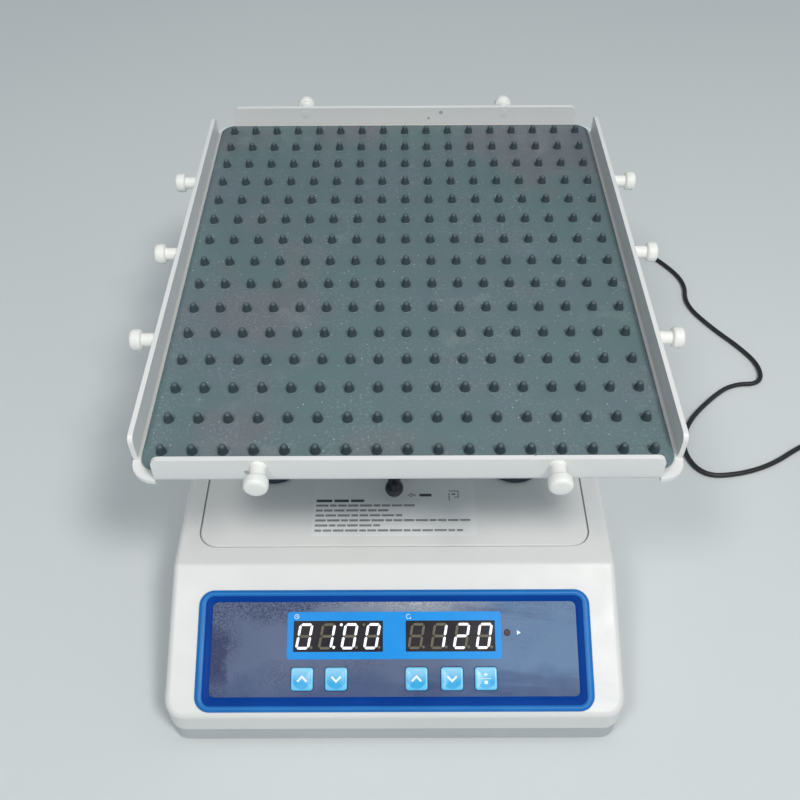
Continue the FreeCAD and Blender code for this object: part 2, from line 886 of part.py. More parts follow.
def make_lock_ring():
    disc = ring(ring_radius, hub_radius, ring_low, head_low)
    tools = []
    for i in range(notch_count):
        notch = block(lock_x - notch_half, lock_x + notch_half, -ring_radius - 1, -ring_radius + notch_depth,
                      ring_low - 1, head_low + 1)
        notch.rotate(Vector(0, 0, 0), Vector(0, 0, 1), 360.0 / notch_count * i)
        tools.append(notch)
    return drilled(disc, tools)


def make_tilt_pin():
    end = block_half + seam_gap + ear_sheet + pin_reach
    return rod(pin_radius, (-end, 0, pivot_z), (end, 0, pivot_z))


# Parts on the tilt pin
def make_tilt_block():
    shoulder = nutation_low - block_shoulder
    parts = [
        rod(ear_radius, (-block_half, 0, pivot_z), (block_half, 0, pivot_z)),
        block(-block_half, block_half, -ear_radius, ear_radius, pivot_z, shoulder),
        rod(spigot_radius + block_shoulder, (0, 0, shoulder), (0, 0, nutation_low)),
        rod(spigot_radius, (0, 0, nutation_low), (0, 0, nutation_top - 0.5)),
    ]
    tools = [rod(pin_radius + running, (-head_radius, 0, pivot_z), (head_radius, 0, pivot_z)),
             rod(pin_radius + running, (0, 0, pivot_z), (0, 0, nutation_top + 1))]
    return drilled(joined(parts), tools)


def make_bearing_inner():
    return ring(nutation_split, spigot_radius, nutation_low, nutation_top)


def make_clamp_washer():
    return ring(washer_radius, pin_radius + 0.3, nutation_top, nutation_top + washer_sheet)


def make_centre_screw():
    seat = nutation_top + washer_sheet + 0.1
    top = mat_low - screw_head_gap
    head = turned([(0, seat), (screw_head_radius, seat), (screw_head_radius, top - 0.8),
                   (screw_head_radius - 0.8, top), (0, top)])
    shank = rod(pin_radius, (0, 0, pivot_z + pin_radius + seam_gap), (0, 0, seat))
    return joined([head, shank]).cut(hexagon(hex_across, top - hex_depth, top + 1))


# Platform: carrier, tray, pegs, guide arm
def make_bearing_outer():
    return ring(nutation_radius, nutation_split + seam_gap, nutation_low, nutation_top)


def make_carrier():
    outer = nutation_radius + hub_wall
    parts = [
        rod(outer, (0, 0, nutation_low - 1), (0, 0, carrier_low)),
        plate(carrier_half_x, carrier_half_y, carrier_corner, carrier_low, tray_bottom),
    ]
    lip_half = carrier_half_y - lip_end
    for side in (-1, 1):
        x0, x1 = sorted((side * carrier_half_x, side * (carrier_half_x - carrier_sheet)))
        parts.append(block(x0, x1, -lip_half, lip_half, carrier_low - carrier_lip, carrier_low))
    tools = [rod(nutation_radius, (0, 0, nutation_low - 2), (0, 0, nutation_top)),
             rod(washer_radius + washer_room, (0, 0, nutation_top - 1), (0, 0, tray_bottom + 1))]
    tools += [rod(carrier_screw_radius, (x, y, 0), (x, y, mat_low)) for x, y in carrier_screw_places()]
    return drilled(joined(parts), tools)


def carrier_screw_places():
    """Countersunk screws that hold the tray to its carrier."""
    return corners(carrier_half_x - carrier_screw_inset, carrier_half_y - carrier_screw_inset)


def carrier_screw_form(x, y, tip):
    """Countersunk screw flush with the tray's floor."""
    return turned([(0, tip), (carrier_screw_radius, tip), (carrier_screw_radius, tray_bottom),
                   (carrier_screw_head, mat_low), (0, mat_low)], x, y)


def make_rail(length, along):
    """One upright rail, centred, with rounded top corners; along is 0 for x, 1 for y."""
    half = length / 2
    if along == 0:
        solid = block(-half, half, 0, tray_sheet, tray_bottom, rail_top)
    else:
        solid = block(0, tray_sheet, -half, half, tray_bottom, rail_top)

    def is_top_corner(edge):
        return lies_along(edge, 1 - along) and edge.Vertexes[0].Z > mat_low

    return rounded(solid, rail_round, is_top_corner)


def make_tray():
    half_x = tray_width / 2
    half_y = tray_length / 2
    across = tray_width - 2 * rail_setback
    along = tray_length - 2 * rail_setback
    parts = [
        plate(half_x, half_y, tray_corner, tray_bottom, mat_low),
        make_rail(across, 0).translated(Vector(0, -half_y, 0)),
        make_rail(across, 0).translated(Vector(0, half_y - tray_sheet, 0)),
        make_rail(along, 1).translated(Vector(-half_x, 0, 0)),
        make_rail(along, 1).translated(Vector(half_x - tray_sheet, 0, 0)),
    ]
    tools = [rod(centre_hole_radius, (0, 0, 0), (0, 0, rail_top))]
    tools += [carrier_screw_form(x, y, tray_bottom - 1) for x, y in carrier_screw_places()]
    tools += [pointed(peg_screw_form(1), spot, way) for spot, way in peg_places()]
    return drilled(joined(parts), tools)


def make_carrier_screws():
    return Part.makeCompound([carrier_screw_form(x, y, tray_bottom - carrier_screw_length)
                              for x, y in carrier_screw_places()])


def peg_places():
    """Foot of each band peg on the rails' outer faces, and the way it points."""
    half_x = tray_width / 2
    half_y = tray_length / 2
    places = []
    for side in (-1, 1):
        for x in (-front_peg_spread, front_peg_spread):
            places.append((Vector(x, side * half_y, peg_z), Vector(0, side, 0)))
        for row in (-1, 0, 1):
            places.append((Vector(side * half_x, row * side_peg_pitch, peg_z), Vector(side, 0, 0)))
    return places


def pointed(solid, spot, way):
    """Turns an upright shape to point along way and stands it at spot."""
    solid.Placement = Placement(spot, Rotation(Vector(0, 0, 1), way))
    return solid


def make_band_pegs():
    top = peg_neck_length + peg_head_length
    profile = [
        (0, 0), (peg_neck_radius + peg_foot, 0), (peg_neck_radius + peg_foot, peg_foot),
        (peg_neck_radius, 2 * peg_foot),
        (peg_neck_radius, peg_neck_length), (peg_head_radius - peg_round, peg_neck_length),
        (peg_head_radius, peg_neck_length + peg_round), (peg_head_radius, top - peg_round),
        (peg_head_radius - 0.4 * peg_round, top - 0.4 * peg_round), (peg_head_radius - peg_round, top),
        (0, top),
    ]
    solids = []
    for spot, way in peg_places():
        peg = turned(profile).cut(rod(peg_screw_radius, (0, 0, -1), (0, 0, peg_screw_depth)))
        solids.append(pointed(peg, spot, way))
    return Part.makeCompound(solids)


def peg_screw_form(tip):
    """Countersunk screw flush with the rail's inner face, upright; z = 0 is the rail's outer face."""
    return turned([(0, -tray_sheet), (peg_screw_head, -tray_sheet),
                   (peg_screw_radius, -tray_sheet + peg_screw_cone), (peg_screw_radius, tip), (0, tip)])


def make_peg_screws():
    return Part.makeCompound([pointed(peg_screw_form(peg_screw_depth), spot, way)
                              for spot, way in peg_places()])


def make_dimple_mat():
    half_x = tray_width / 2 - tray_sheet - mat_gap_side
    half_y = tray_length / 2 - tray_sheet - mat_gap_end
    sheet = plate(half_x, half_y, mat_corner, mat_low, mat_top)
    rise = dimple_height - dimple_tip_radius
    arc = dimple_tip_radius * math.sqrt(0.5)
    dimple = turned([
        (0, mat_top - 0.5), (dimple_base_radius, mat_top - 0.5), (dimple_base_radius, mat_top),
        (dimple_tip_radius, mat_top + rise), (arc, mat_top + rise + arc), (0, mat_top + dimple_height),
    ])
    across = int((half_x - mat_margin) / dimple_pitch_x)
    along = int((half_y - mat_margin) / dimple_pitch_y)
    studs = [dimple.translated(Vector(i * dimple_pitch_x, j * dimple_pitch_y, 0))
             for i in range(-across, across + 1) for j in range(-along, along + 1)]
    return sheet.fuse(Part.makeCompound(studs))


def make_guide_arm():
    parts = [
        block(-arm_half, arm_half, arm_face - post_sheet, arm_face, pivot_z, carrier_low),
        block(-arm_half, arm_half, arm_face - arm_foot, arm_face, carrier_low - post_sheet, carrier_low),
        rod(arm_half, (0, arm_face - post_sheet, pivot_z), (0, arm_face, pivot_z)),
    ]
    return drilled(joined(parts), [rod(pin_radius, (0, 0, pivot_z), (0, post_y, pivot_z))])


def make_guide_pin():
    front = arm_face - post_sheet - pin_head_length
    return joined([rod(pin_radius, (0, front, pivot_z), (0, post_y + post_sheet + pin_past_post, pivot_z)),
                   rod(pin_radius + pin_head, (0, front, pivot_z), (0, front + pin_head_length, pivot_z))])


def make_guide_post():
    back = post_y + post_sheet
    slot = pin_radius + slot_clearance
    reach = post_y * math.sin(math.radians(tilt_range)) + slot + 1
    parts = [
        block(-post_half, post_half, post_y, back, base_top, post_top),
        block(-post_half, post_half, post_y, back + post_foot, base_top, base_top + post_sheet),
    ]
    gusset = [(back - 1, base_top), (back + post_foot, base_top), (back - 1, base_top + post_gusset)]
    for side in (-1, 1):
        x0, x1 = sorted((side * post_half, side * (post_half - post_sheet)))
        parts.append(prism([(x0, y, z) for y, z in gusset], (x1 - x0, 0, 0)))

    def is_top_corner(edge):
        return lies_along(edge, 1) and edge.Vertexes[0].Z > post_top - 1e-3

    post = rounded(joined(parts), post_round, is_top_corner)
    tools = [block(-slot, slot, post_y - 1, back + 1, pivot_z - reach, post_top + 1)]
    tools += [rod(cover_screw_radius, (x, y, base_top - 1), (x, y, base_top + post_sheet + 1))
              for x, y in post_screw_places()]
    return drilled(post, tools)


# Angle lock
def make_lock_guide():
    top = base_top + lock_guide_height
    body = block(lock_x - lock_guide_half, lock_x + lock_guide_half, -lock_guide_front, -lock_guide_back,
                 base_top, top)
    body = rounded(body, lock_guide_corner, lambda edge: lies_along(edge, 2))
    tools = [rod(lock_rod_radius + running, (lock_x, -lock_guide_front - 1, lock_z),
                 (lock_x, -lock_guide_back + 1, lock_z))]
    tools += [rod(cover_screw_radius, (x, y, base_top - 1), (x, y, top + 1)) for x, y in guide_screw_places()]
    return drilled(body, tools)


def make_lock_rod():
    tip = -(ring_radius + lock_tip_gap)
    collar = -lock_guide_back + seam_gap
    return joined([
        rod(lock_rod_radius, (lock_x, -knob_y - knob_socket, lock_z), (lock_x, tip, lock_z)),
        rod(lock_collar_radius, (lock_x, collar, lock_z), (lock_x, collar + lock_collar, lock_z)),
    ])


def make_lock_knob():
    ball = Part.makeSphere(knob_radius, Vector(lock_x, -knob_y, lock_z))
    neck = rod(lock_rod_radius + 1.2, (lock_x, -knob_y, lock_z),
               (lock_x, -knob_y + knob_radius + 0.2, lock_z))
    return drilled(joined([ball, neck]), [rod(lock_rod_radius, (lock_x, -knob_y - knob_socket, lock_z),
                                              (lock_x, -knob_y + 2 * knob_radius, lock_z))])


# Control panel, built flat and laid on the slope
def make_bezel_frame():
    flange = plate(bezel_half, bezel_half_y, bezel_corner, 0, bezel_proud, 0, bezel_middle)
    rim = [edge for edge in flange.Edges if all(abs(v.Z - bezel_proud) < 1e-6 for v in edge.Vertexes)]
    flange = flange.makeChamfer(1.3, rim)
    inset = bezel_lap + seam_gap
    collar = plate(bezel_half - inset, bezel_half_y - inset, bezel_corner - inset, -collar_depth, 0.5,
                   0, bezel_middle)
    inner = plate(bezel_half - bezel_side, bezel_half_y - bezel_end, film_corner, -collar_depth - 1,
                  bezel_proud + 1, 0, bezel_middle)
    return on_panel(joined([flange, collar]).cut(inner))


def panel_sheet(z0, z1, margin):
    """Flat sheet that fits inside the bezel."""
    return plate(bezel_half - bezel_side - margin, bezel_half_y - bezel_end - margin,
                 max(film_corner - margin, 1.0), z0, z1, 0, bezel_middle)


def window_cuts():
    """Cutting blocks for the two display windows."""
    return [block(x - window_half, x + window_half, window_low, window_high, -module_depth, bezel_proud)
            for x in (-window_x, window_x)]


def module_block(x, z0, z1):
    """Outline of one display module between two depths."""
    half = module_height / 2
    return block(x - module_half, x + module_half, window_middle - half, window_middle + half, z0, z1)


def key_and_lamp_cuts():
    """Cutting shapes for the keys' and the lamp's openings."""
    half = key_size / 2 + film_gap
    cuts = [plate(half, half, key_corner + film_gap, -module_depth, bezel_proud, x, key_y)
            for x in key_places.values()]
    return cuts + [rod(lamp_radius, (lamp_x, lamp_y, -module_depth), (lamp_x, lamp_y, bezel_proud))]


def make_panel_film():
    film = panel_sheet(-film_depth, -film_depth + film_sheet, film_gap)
    return on_panel(drilled(film, window_cuts() + key_and_lamp_cuts()))


def make_display_patch():
    low = -film_depth + film_sheet
    bottom = window_low - patch_below
    top = window_high + patch_above
    half = window_x + window_half + patch_margin
    patch = plate(half, (top - bottom) / 2, 1.2, low, low + patch_sheet, 0, (bottom + top) / 2)
    return on_panel(drilled(patch, window_cuts()))


def make_backing_plate():
    sheet = panel_sheet(-film_depth - backing_sheet, -film_depth, film_gap)
    modules = [module_block(x, -module_depth, 1) for x in (-window_x, window_x)]
    return on_panel(drilled(sheet, key_and_lamp_cuts() + modules))


def make_displays():
    return on_panel(Part.makeCompound([module_block(x, -film_depth - module_depth, -film_depth)
                                       for x in (-window_x, window_x)]))


def segment_bars():
    """Outline of each of the seven bars, about the digit's centre."""
    half_w = digit_width / 2 - segment_width / 2
    half_h = digit_height / 2 - segment_width / 2
    tip = segment_width / 2
    end = half_w - segment_gap

    def level(y):
        return [(-end, y), (-end + tip, y + tip), (end - tip, y + tip), (end, y), (end - tip, y - tip),
                (-end + tip, y - tip)]

    def upright(x, y0, y1):
        low = y0 + segment_gap
        high = y1 - segment_gap
        return [(x, low), (x + tip, low + tip), (x + tip, high - tip), (x, high), (x - tip, high - tip),
                (x - tip, low + tip)]

    return {
        "a": level(half_h), "g": level(0), "d": level(-half_h),
        "f": upright(-half_w, 0, half_h), "b": upright(half_w, 0, half_h),
        "e": upright(-half_w, -half_h, 0), "c": upright(half_w, -half_h, 0),
    }


def display_segments(lit):
    """The lit or the dark bars and dots of both displays, as thin printed solids."""
    shapes = {"0": "abcdef", "1": "bc", "2": "abged", " ": ""}
    low = -film_depth
    lit_dots = ((-window_x, 1, low_dot), (-window_x, 2, high_dot))
    solids = []
    for centre, digits in ((-window_x, "0100"), (window_x, " 120")):
        for place, digit in enumerate(digits):
            x0 = centre + (place - 1.5) * digit_pitch
            for name, outline in segment_bars().items():
                if (name in shapes[digit]) == lit:
                    points = [(x0 + x + y * digit_slant, window_middle + y, low) for x, y in outline]
                    solids.append(prism(points, (0, 0, segment_sheet)))
            has_high = centre < 0 and place > 1
            for dot in (low_dot, high_dot) if has_high else (low_dot,):
                if ((centre, place, dot) in lit_dots) == lit:
                    x = x0 + dot[0]
                    y = window_middle + dot[1]
                    solids.append(rod(dot_radius, (x, y, low), (x, y, low + segment_sheet)))
    return on_panel(Part.makeCompound(solids))


def make_run_lamp():
    shoulder = board_top + 5
    top = -film_depth + film_sheet + 0.3
    return on_panel(joined([rod(lamp_radius - film_gap, (lamp_x, lamp_y, shoulder), (lamp_x, lamp_y, top)),
                            rod(lamp_radius + 0.6, (lamp_x, lamp_y, board_top), (lamp_x, lamp_y, shoulder))]))


def make_control_board():
    """Board behind the panel, with its four standoffs and the modules' sockets."""
    parts = [panel_sheet(board_top - board_sheet, board_top, film_corner)]
    for x, y in corners(bezel_half - board_post_inset_x, bezel_half_y - board_post_inset_y, 0, bezel_middle):
        parts.append(rod(board_post_radius, (x, y, board_top), (x, y, -film_depth - backing_sheet)))
    half_x, half_y = (size / 2 for size in module_socket)
    for x in (-window_x, window_x):
        parts.append(block(x - half_x, x + half_x, window_middle - half_y, window_middle + half_y,
                           board_top, -film_depth - module_depth))
    return on_panel(joined(parts))


def make_key(name):
    """Key with a domed cap and a stem that reaches to its switch."""
    x = key_places[name]
    top = -film_depth + film_sheet + key_dome
    root = -film_depth - key_root
    cap = plate(key_size / 2, key_size / 2, key_corner, root, top, x, key_y)
    rim = [edge for edge in cap.Edges if all(abs(v.Z - top) < 1e-6 for v in edge.Vertexes)]
    cap = cap.makeChamfer(0.7, rim)
    bottom = board_top + tact_height + key_travel + seam_gap
    return on_panel(joined([cap, rod(key_stem_radius, (x, key_y, bottom), (x, key_y, root))]))


def make_tact_switches():
    top = board_top + tact_height
    half = tact_side / 2
    solids = []
    for x in key_places.values():
        body = plate(half, half, 0.6, board_top, top - tact_plunger_rise, x, key_y)
        solids.append(joined([body, rod(tact_plunger_radius, (x, key_y, board_top), (x, key_y, top))]))
    return on_panel(Part.makeCompound(solids))


# Rear wall and electronics
def make_dc_socket():
    x, y, z = socket_x, back_depth, socket_z
    rim = socket_radius + socket_rim
    body = joined([
        rod(socket_radius, (x, y - socket_depth, z), (x, y, z)),
        rod(rim, (x, y, z), (x, y + socket_lip, z)),
        rod(rim, (x, y - wall - socket_nut, z), (x, y - wall, z)),
    ])
    body = body.cut(rod(jack_radius, (x, y - jack_depth, z), (x, y + socket_lip + 1, z)))
    return joined([body, rod(jack_pin_radius, (x, y - jack_depth - 1, z), (x, y + 0.5, z))])


def make_dc_plug():
    """Plug of the lead: barrel, grip and the tapered relief that the lead leaves."""
    barrel = ring(barrel_radius, barrel_bore, -barrel_length, 0)
    body = turned([
        (barrel_bore, 0), (plug_radius - 0.3, 0), (plug_radius, 1), (plug_radius, plug_grip),
        (plug_radius - 0.9, plug_grip + 2), (plug_radius - 1.3, plug_grip + 3),
        (cord_radius + 1.2, plug_reach), (0, plug_reach), (0, plug_grip - 1), (barrel_bore, plug_grip - 1),
    ])
    face = Vector(socket_x, back_depth + socket_lip, socket_z)
    return pointed(joined([barrel, body]), face, Vector(0, 1, 0))


def make_switch_housing():
    y = back_depth
    half_x = switch_half_x
    half_z = switch_half_z
    flange = block(switch_x - half_x - switch_rim, switch_x + half_x + switch_rim, y, y + switch_lip,
                   switch_z - half_z - switch_rim, switch_z + half_z + switch_rim)
    flange = rounded(flange, 1.5, lambda edge: lies_along(edge, 1))
    slack = 2 * running
    body = block(switch_x - half_x + slack, switch_x + half_x - slack, y - switch_depth, y + 0.5,
                 switch_z - half_z + slack, switch_z + half_z - slack)
    space = block(switch_x - rocker_half_x - seam_gap, switch_x + rocker_half_x + seam_gap, y - 9, y + 3,
                  switch_z - rocker_half_z - 2 * seam_gap, switch_z + rocker_half_z + 2 * seam_gap)
    return drilled(joined([flange, body]), [space, rocker_pin(2.0, rocker_pin_radius + running)])


def rocker_pin(past, radius):
    """Cross pin of the rocker, reaching past its sides."""
    reach = rocker_half_x + past
    y = back_depth - rocker_depth
    return rod(radius, (switch_x - reach, y, switch_z), (switch_x + reach, y, switch_z))


def make_power_rocker():
    """Rocker with two slightly hollow faces, tipped to its on side."""
    y = back_depth - rocker_depth
    outline = [(-rocker_half_z, 2.2), (0, 1.6), (rocker_half_z, 2.2), (rocker_half_z - 0.6, -3.0), (0, -5.0),
               (-rocker_half_z + 0.6, -3.0)]
    points = [(switch_x - rocker_half_x, y + out, switch_z + up) for up, out in outline]
    rocker = joined([prism(points, (2 * rocker_half_x, 0, 0)), rocker_pin(1.4, rocker_pin_radius)])
    rocker.rotate(Vector(switch_x, y, switch_z), Vector(1, 0, 0), rocker_tilt)
    return rocker


def make_supply_board():
    """Motor driver board with its standoffs, capacitors and blocks."""
    top = supply_z + board_sheet
    solids = [plate(supply_half_x, supply_half_y, 2.0, supply_z, top, supply_x, supply_y)]
    solids += [ring(standoff_radius, 1.0, pan_floor, supply_z, x, y)
               for x, y in corners(supply_half_x - standoff_inset, supply_half_y - standoff_inset,
                                   supply_x, supply_y)]
    for i in (-1, 0, 1):
        x = supply_x - capacitor_offset + capacitor_pitch * i
        y = supply_y + supply_half_y / 2
        solids.append(rod(capacitor_radius, (x, y, top), (x, y, top + capacitor_height)))
    for (dx, dy), (long, wide, high) in ((driver_place, driver_block), (terminal_place, terminal_block)):
        x = supply_x + dx
        y = supply_y + dy
        solids.append(block(x - long / 2, x + long / 2, y - wide / 2, y + wide / 2, top, top + high))
    return Part.makeCompound(solids)


# Lead
def route_tube(points, radius):
    """Straight runs joined by tangent arcs, swept with a round section."""
    points = [Vector(*p) for p in points]
    edges = []
    start = points[0]
    radii = []
    for i in range(1, len(points) - 1):
        back = points[i - 1] - points[i]
        on = points[i + 1] - points[i]
        cut = 0.45 * min(back.Length, on.Length)
        turn = math.pi - back.getAngle(on)
        radii.append(cut / math.tan(turn / 2))
        a = points[i] + back.normalize() * cut
        b = points[i] + on.normalize() * cut
        half = (back + on).normalize()
        middle = points[i] + half * (math.hypot(cut, radii[-1]) - radii[-1])
        edges.append(Part.LineSegment(start, a).toShape())
        edges.append(Part.Arc(a, middle, b).toShape())
        start = b
    edges.append(Part.LineSegment(start, points[-1]).toShape())
    path = Part.Wire(edges)
    first = (points[1] - points[0]).normalize()
    section = Part.Wire(Part.makeCircle(radius, points[0], first))
    tube = path.makePipeShell([section], True, False)
    length = path.Length
    print("cord radii", [round(r, 1) for r in radii])
    print("cord length", round(length, 1), "volume", round(tube.Volume, 1),
          "expected", round(math.pi * radius ** 2 * length, 1))
    return tube


def make_cord_coil():
    """Outer shape of the rest of the lead, wound up beside the end of its route."""
    x, y, _ = cord_route[-1]
    outer = coil_radius + coil_band
    inner = coil_radius - coil_band
    profile = [
        (inner, coil_round), (inner + coil_round, 0), (outer - coil_round, 0), (outer, coil_round),
        (outer, coil_height - coil_round), (outer - coil_round, coil_height),
        (inner + coil_round, coil_height), (inner, coil_height - coil_round),
    ]
    return turned(profile, x, y - coil_radius)


def make_power_cord():
    """The stretch of the lead that isn't wound, up to the face of the coil."""
    return route_tube(cord_route, cord_radius).cut(make_cord_coil())


def make_plug_adapter():
    """Wall adapter that lies against the coil, its relief over the turns."""
    x, y, _ = cord_route[-1]
    back = y - 2 * coil_radius - coil_band - seam_gap
    front = back - adapter_length
    middle = adapter_height / 2
    body = block(x - adapter_width / 2, x + adapter_width / 2, front, back, 0, adapter_height)
    body = rounded(body, adapter_round, lambda edge: lies_along(edge, 1) or lies_along(edge, 2))
    relief = turned([(0, 0), (relief_radius, 0), (relief_tip, relief_length + 1), (0, relief_length + 1)])
    over = coil_height + seam_gap + relief_radius
    parts = [body, pointed(relief, Vector(x, back - 1, over), Vector(0, 1, 0))]
    for side in (-prong_spread, prong_spread):
        parts.append(block(x + side - prong_half_sheet, x + side + prong_half_sheet, front - prong_length,
                           front + 1, middle - prong_half_width, middle + prong_half_width))
    return joined(parts)


def build_nodes():
    """Every node's name with the shape that it holds."""
    nodes = {
        "upper_housing": make_upper_housing(),
        "top_cover": make_top_cover(),
        "bottom_pan": make_bottom_pan(),
        "rubber_feet": make_rubber_feet(),
        "base_screws": make_base_screws(),
        "instruction_label": make_instruction_label(),
        "isolators": make_isolators(),
        "isolator_bolts": make_isolator_bolts(),
        "drive_plate": make_drive_plate(),
        "bearing_housing": make_bearing_housing(),
        "shaft_bearings": make_shaft_bearings(),
        "motor_bracket": make_motor_bracket(),
        "motor": make_motor(),
        "motor_pulley": make_motor_pulley(),
        "drive_belt": make_drive_belt(),
        "drive_shaft": make_drive_shaft(),
        "drive_pulley": make_drive_pulley(),
        "drive_head": make_drive_head(),
        "lock_ring": make_lock_ring(),
        "tilt_pin": make_tilt_pin(),
        "tilt_block": make_tilt_block(),
        "bearing_inner": make_bearing_inner(),
        "clamp_washer": make_clamp_washer(),
        "centre_screw": make_centre_screw(),
        "bearing_outer": make_bearing_outer(),
        "carrier": make_carrier(),
        "tray": make_tray(),
        "carrier_screws": make_carrier_screws(),
        "band_pegs": make_band_pegs(),
        "peg_screws": make_peg_screws(),
        "guide_arm": make_guide_arm(),
        "guide_pin": make_guide_pin(),
        "guide_post": make_guide_post(),
        "dimple_mat": make_dimple_mat(),
        "lock_guide": make_lock_guide(),
        "lock_rod": make_lock_rod(),
        "lock_knob": make_lock_knob(),
        "bezel_frame": make_bezel_frame(),
        "panel_film": make_panel_film(),
        "display_patch": make_display_patch(),
        "backing_plate": make_backing_plate(),
        "displays": make_displays(),
        "lit_segments": display_segments(True),
        "dark_segments": display_segments(False),
        "run_lamp": make_run_lamp(),
        "control_board": make_control_board(),
        "tact_switches": make_tact_switches(),
        "dc_socket": make_dc_socket(),
        "switch_housing": make_switch_housing(),
        "power_rocker": make_power_rocker(),
        "supply_board": make_supply_board(),
        "dc_plug": make_dc_plug(),
        "power_cord": make_power_cord(),
        "cord_coil": make_cord_coil(),
        "plug_adapter": make_plug_adapter(),
    }
    for name in key_places:
        nodes["key_" + name] = make_key(name)
    return nodes


def write_nodes():
    os.makedirs("parts", exist_ok=True)
    for name, shape in build_nodes().items():
        shape.translate(Vector(0, axis_y, 0))
        shape.exportStep("parts/" + name + ".step")
        box = shape.optimalBoundingBox()
        print(f"{name:18s} solids {len(shape.Solids):3d} valid {shape.isValid()} "
              f"x {box.XMin:7.1f} {box.XMax:7.1f} y {box.YMin:7.1f} {box.YMax:7.1f} "
              f"z {box.ZMin:6.1f} {box.ZMax:6.1f}")


write_nodes()
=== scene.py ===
# %% [markdown]
# A waving rotator stands on a laboratory bench: a tray with a dimpled rubber mat nutates over a low
# enamelled base with a blue control panel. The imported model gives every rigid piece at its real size
# and place, in metres, so this lesson only dresses it. It builds the bent tray, the mat, the pegs, the
# panel's print and the lead as meshes and curves, and gives each piece a finish made of shader nodes.

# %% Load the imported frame
import math

import bmesh
import bpy
from mathutils import Matrix, Vector


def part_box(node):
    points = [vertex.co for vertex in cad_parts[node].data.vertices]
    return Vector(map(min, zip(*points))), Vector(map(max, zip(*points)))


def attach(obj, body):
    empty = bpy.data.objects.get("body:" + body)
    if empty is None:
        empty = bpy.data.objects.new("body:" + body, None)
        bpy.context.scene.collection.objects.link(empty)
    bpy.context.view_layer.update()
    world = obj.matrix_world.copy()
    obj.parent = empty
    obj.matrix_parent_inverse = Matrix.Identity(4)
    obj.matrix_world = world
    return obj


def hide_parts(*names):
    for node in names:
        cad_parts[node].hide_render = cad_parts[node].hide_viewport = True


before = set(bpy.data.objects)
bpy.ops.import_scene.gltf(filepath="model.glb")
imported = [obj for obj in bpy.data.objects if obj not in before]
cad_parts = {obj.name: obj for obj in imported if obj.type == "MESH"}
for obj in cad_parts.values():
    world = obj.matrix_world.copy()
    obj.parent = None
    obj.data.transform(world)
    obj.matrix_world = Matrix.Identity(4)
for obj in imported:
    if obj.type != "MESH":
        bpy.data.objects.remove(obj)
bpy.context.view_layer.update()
scene = bpy.context.scene
scene.view_settings.view_transform = "Standard"

# %% [markdown]
# The camera comes first, because everything after it is judged through it. Its place and turn were
# solved from the rows and columns of the mat's dimples, which form a known grid. A matrix is built from
# the three view directions, so that the small roll of a hand-held picture is kept as well.

# %% Camera
drive_y = (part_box("tray")[0].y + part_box("tray")[1].y) / 2
camera_place = Vector((-0.00262, drive_y - 0.41561, 0.51514))
camera_pitch = math.radians(47.34)
camera_yaw = math.radians(-0.19)
camera_roll = math.radians(-0.37)
camera_lens = 40.5

across = Vector((math.cos(camera_yaw), -math.sin(camera_yaw), 0))
level_ahead = Vector((math.sin(camera_yaw), math.cos(camera_yaw), 0))
ahead = level_ahead * math.cos(camera_pitch) - Vector((0, 0, math.sin(camera_pitch)))
upward = across.cross(ahead)
camera_right = across * math.cos(camera_roll) + upward * math.sin(camera_roll)
camera_top = upward * math.cos(camera_roll) - across * math.sin(camera_roll)
camera_data = bpy.data.cameras.new("bench_camera")
camera_data.lens = camera_lens
camera_data.clip_start = 0.02
camera = bpy.data.objects.new("bench_camera", camera_data)
scene.collection.objects.link(camera)
camera_turn = Matrix((camera_right, camera_top, -ahead)).transposed().to_4x4()
camera.matrix_world = Matrix.Translation(camera_place) @ camera_turn
scene.camera = camera
print("camera", [round(v, 3) for v in camera.location], "lens", camera_lens)

# %% [markdown]
# The lead is a thin, limp low-voltage one. It leaves its plug at the rear wall, drops to the bench and
# wanders out to the right. The points of its route are listed, and a NURBS curve of order 3 turns
# them into one smooth line. The length that nobody sees is wound in a neat coil beside the wall adapter:
# its turns are worked out by a loop, three side by side on the bench and then three on top of them. A
# NURBS line cuts its corners a little, which a small gain on the coil's radius makes good.

# %% The lead
cord_radius = 0.0018
floor_z = 0.0019
route_down = [
    (0.060, 0.178, 0.036), (0.060, 0.199, 0.035), (0.062, 0.219, 0.024), (0.069, 0.236, 0.009),
]
route_on_bench = [
    (0.084, 0.249), (0.108, 0.262), (0.140, 0.273), (0.172, 0.271), (0.203, 0.256), (0.230, 0.228),
    (0.247, 0.197), (0.240, 0.168), (0.256, 0.138), (0.273, 0.115), (0.284, 0.093), (0.280, 0.073),
    (0.257, 0.073), (0.237, 0.058), (0.213, 0.033), (0.203, 0.006), (0.213, -0.018), (0.239, -0.017),
    (0.266, -0.008), (0.291, 0.009), (0.312, 0.018),
]
route_from_drive = route_down + [(x, y, floor_z) for x, y in route_on_bench]
cord_route = [(x, y + drive_y, z) for x, y, z in route_from_drive]
coil_low, coil_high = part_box("cord_coil")
coil_middle = (coil_low + coil_high) / 2
turn_pitch = 2 * cord_radius + 0.0002
outer_turn = (coil_high.x - coil_low.x) / 2 - cord_radius - 0.0002
points_per_turn = 18
layer_rise = 2 * cord_radius
coil_turns = 5.75
climb_start = 2.85
climb_turns = 0.3
corner_gain = 1.015


def coil_point(turns):
    """Place on the winding after so many turns from the top of the circle, clockwise."""
    angle = math.pi / 2 - 2 * math.pi * turns
    layer = min(max(turns - climb_start, 0.0) / climb_turns, 1.0)
    inward = turns if turns < 3 else 5.9 - turns
    radius = (outer_turn - turn_pitch * min(inward, 2.1)) * corner_gain
    return (coil_middle.x + radius * math.cos(angle), coil_middle.y + radius * math.sin(angle),
            floor_z + layer_rise * layer)


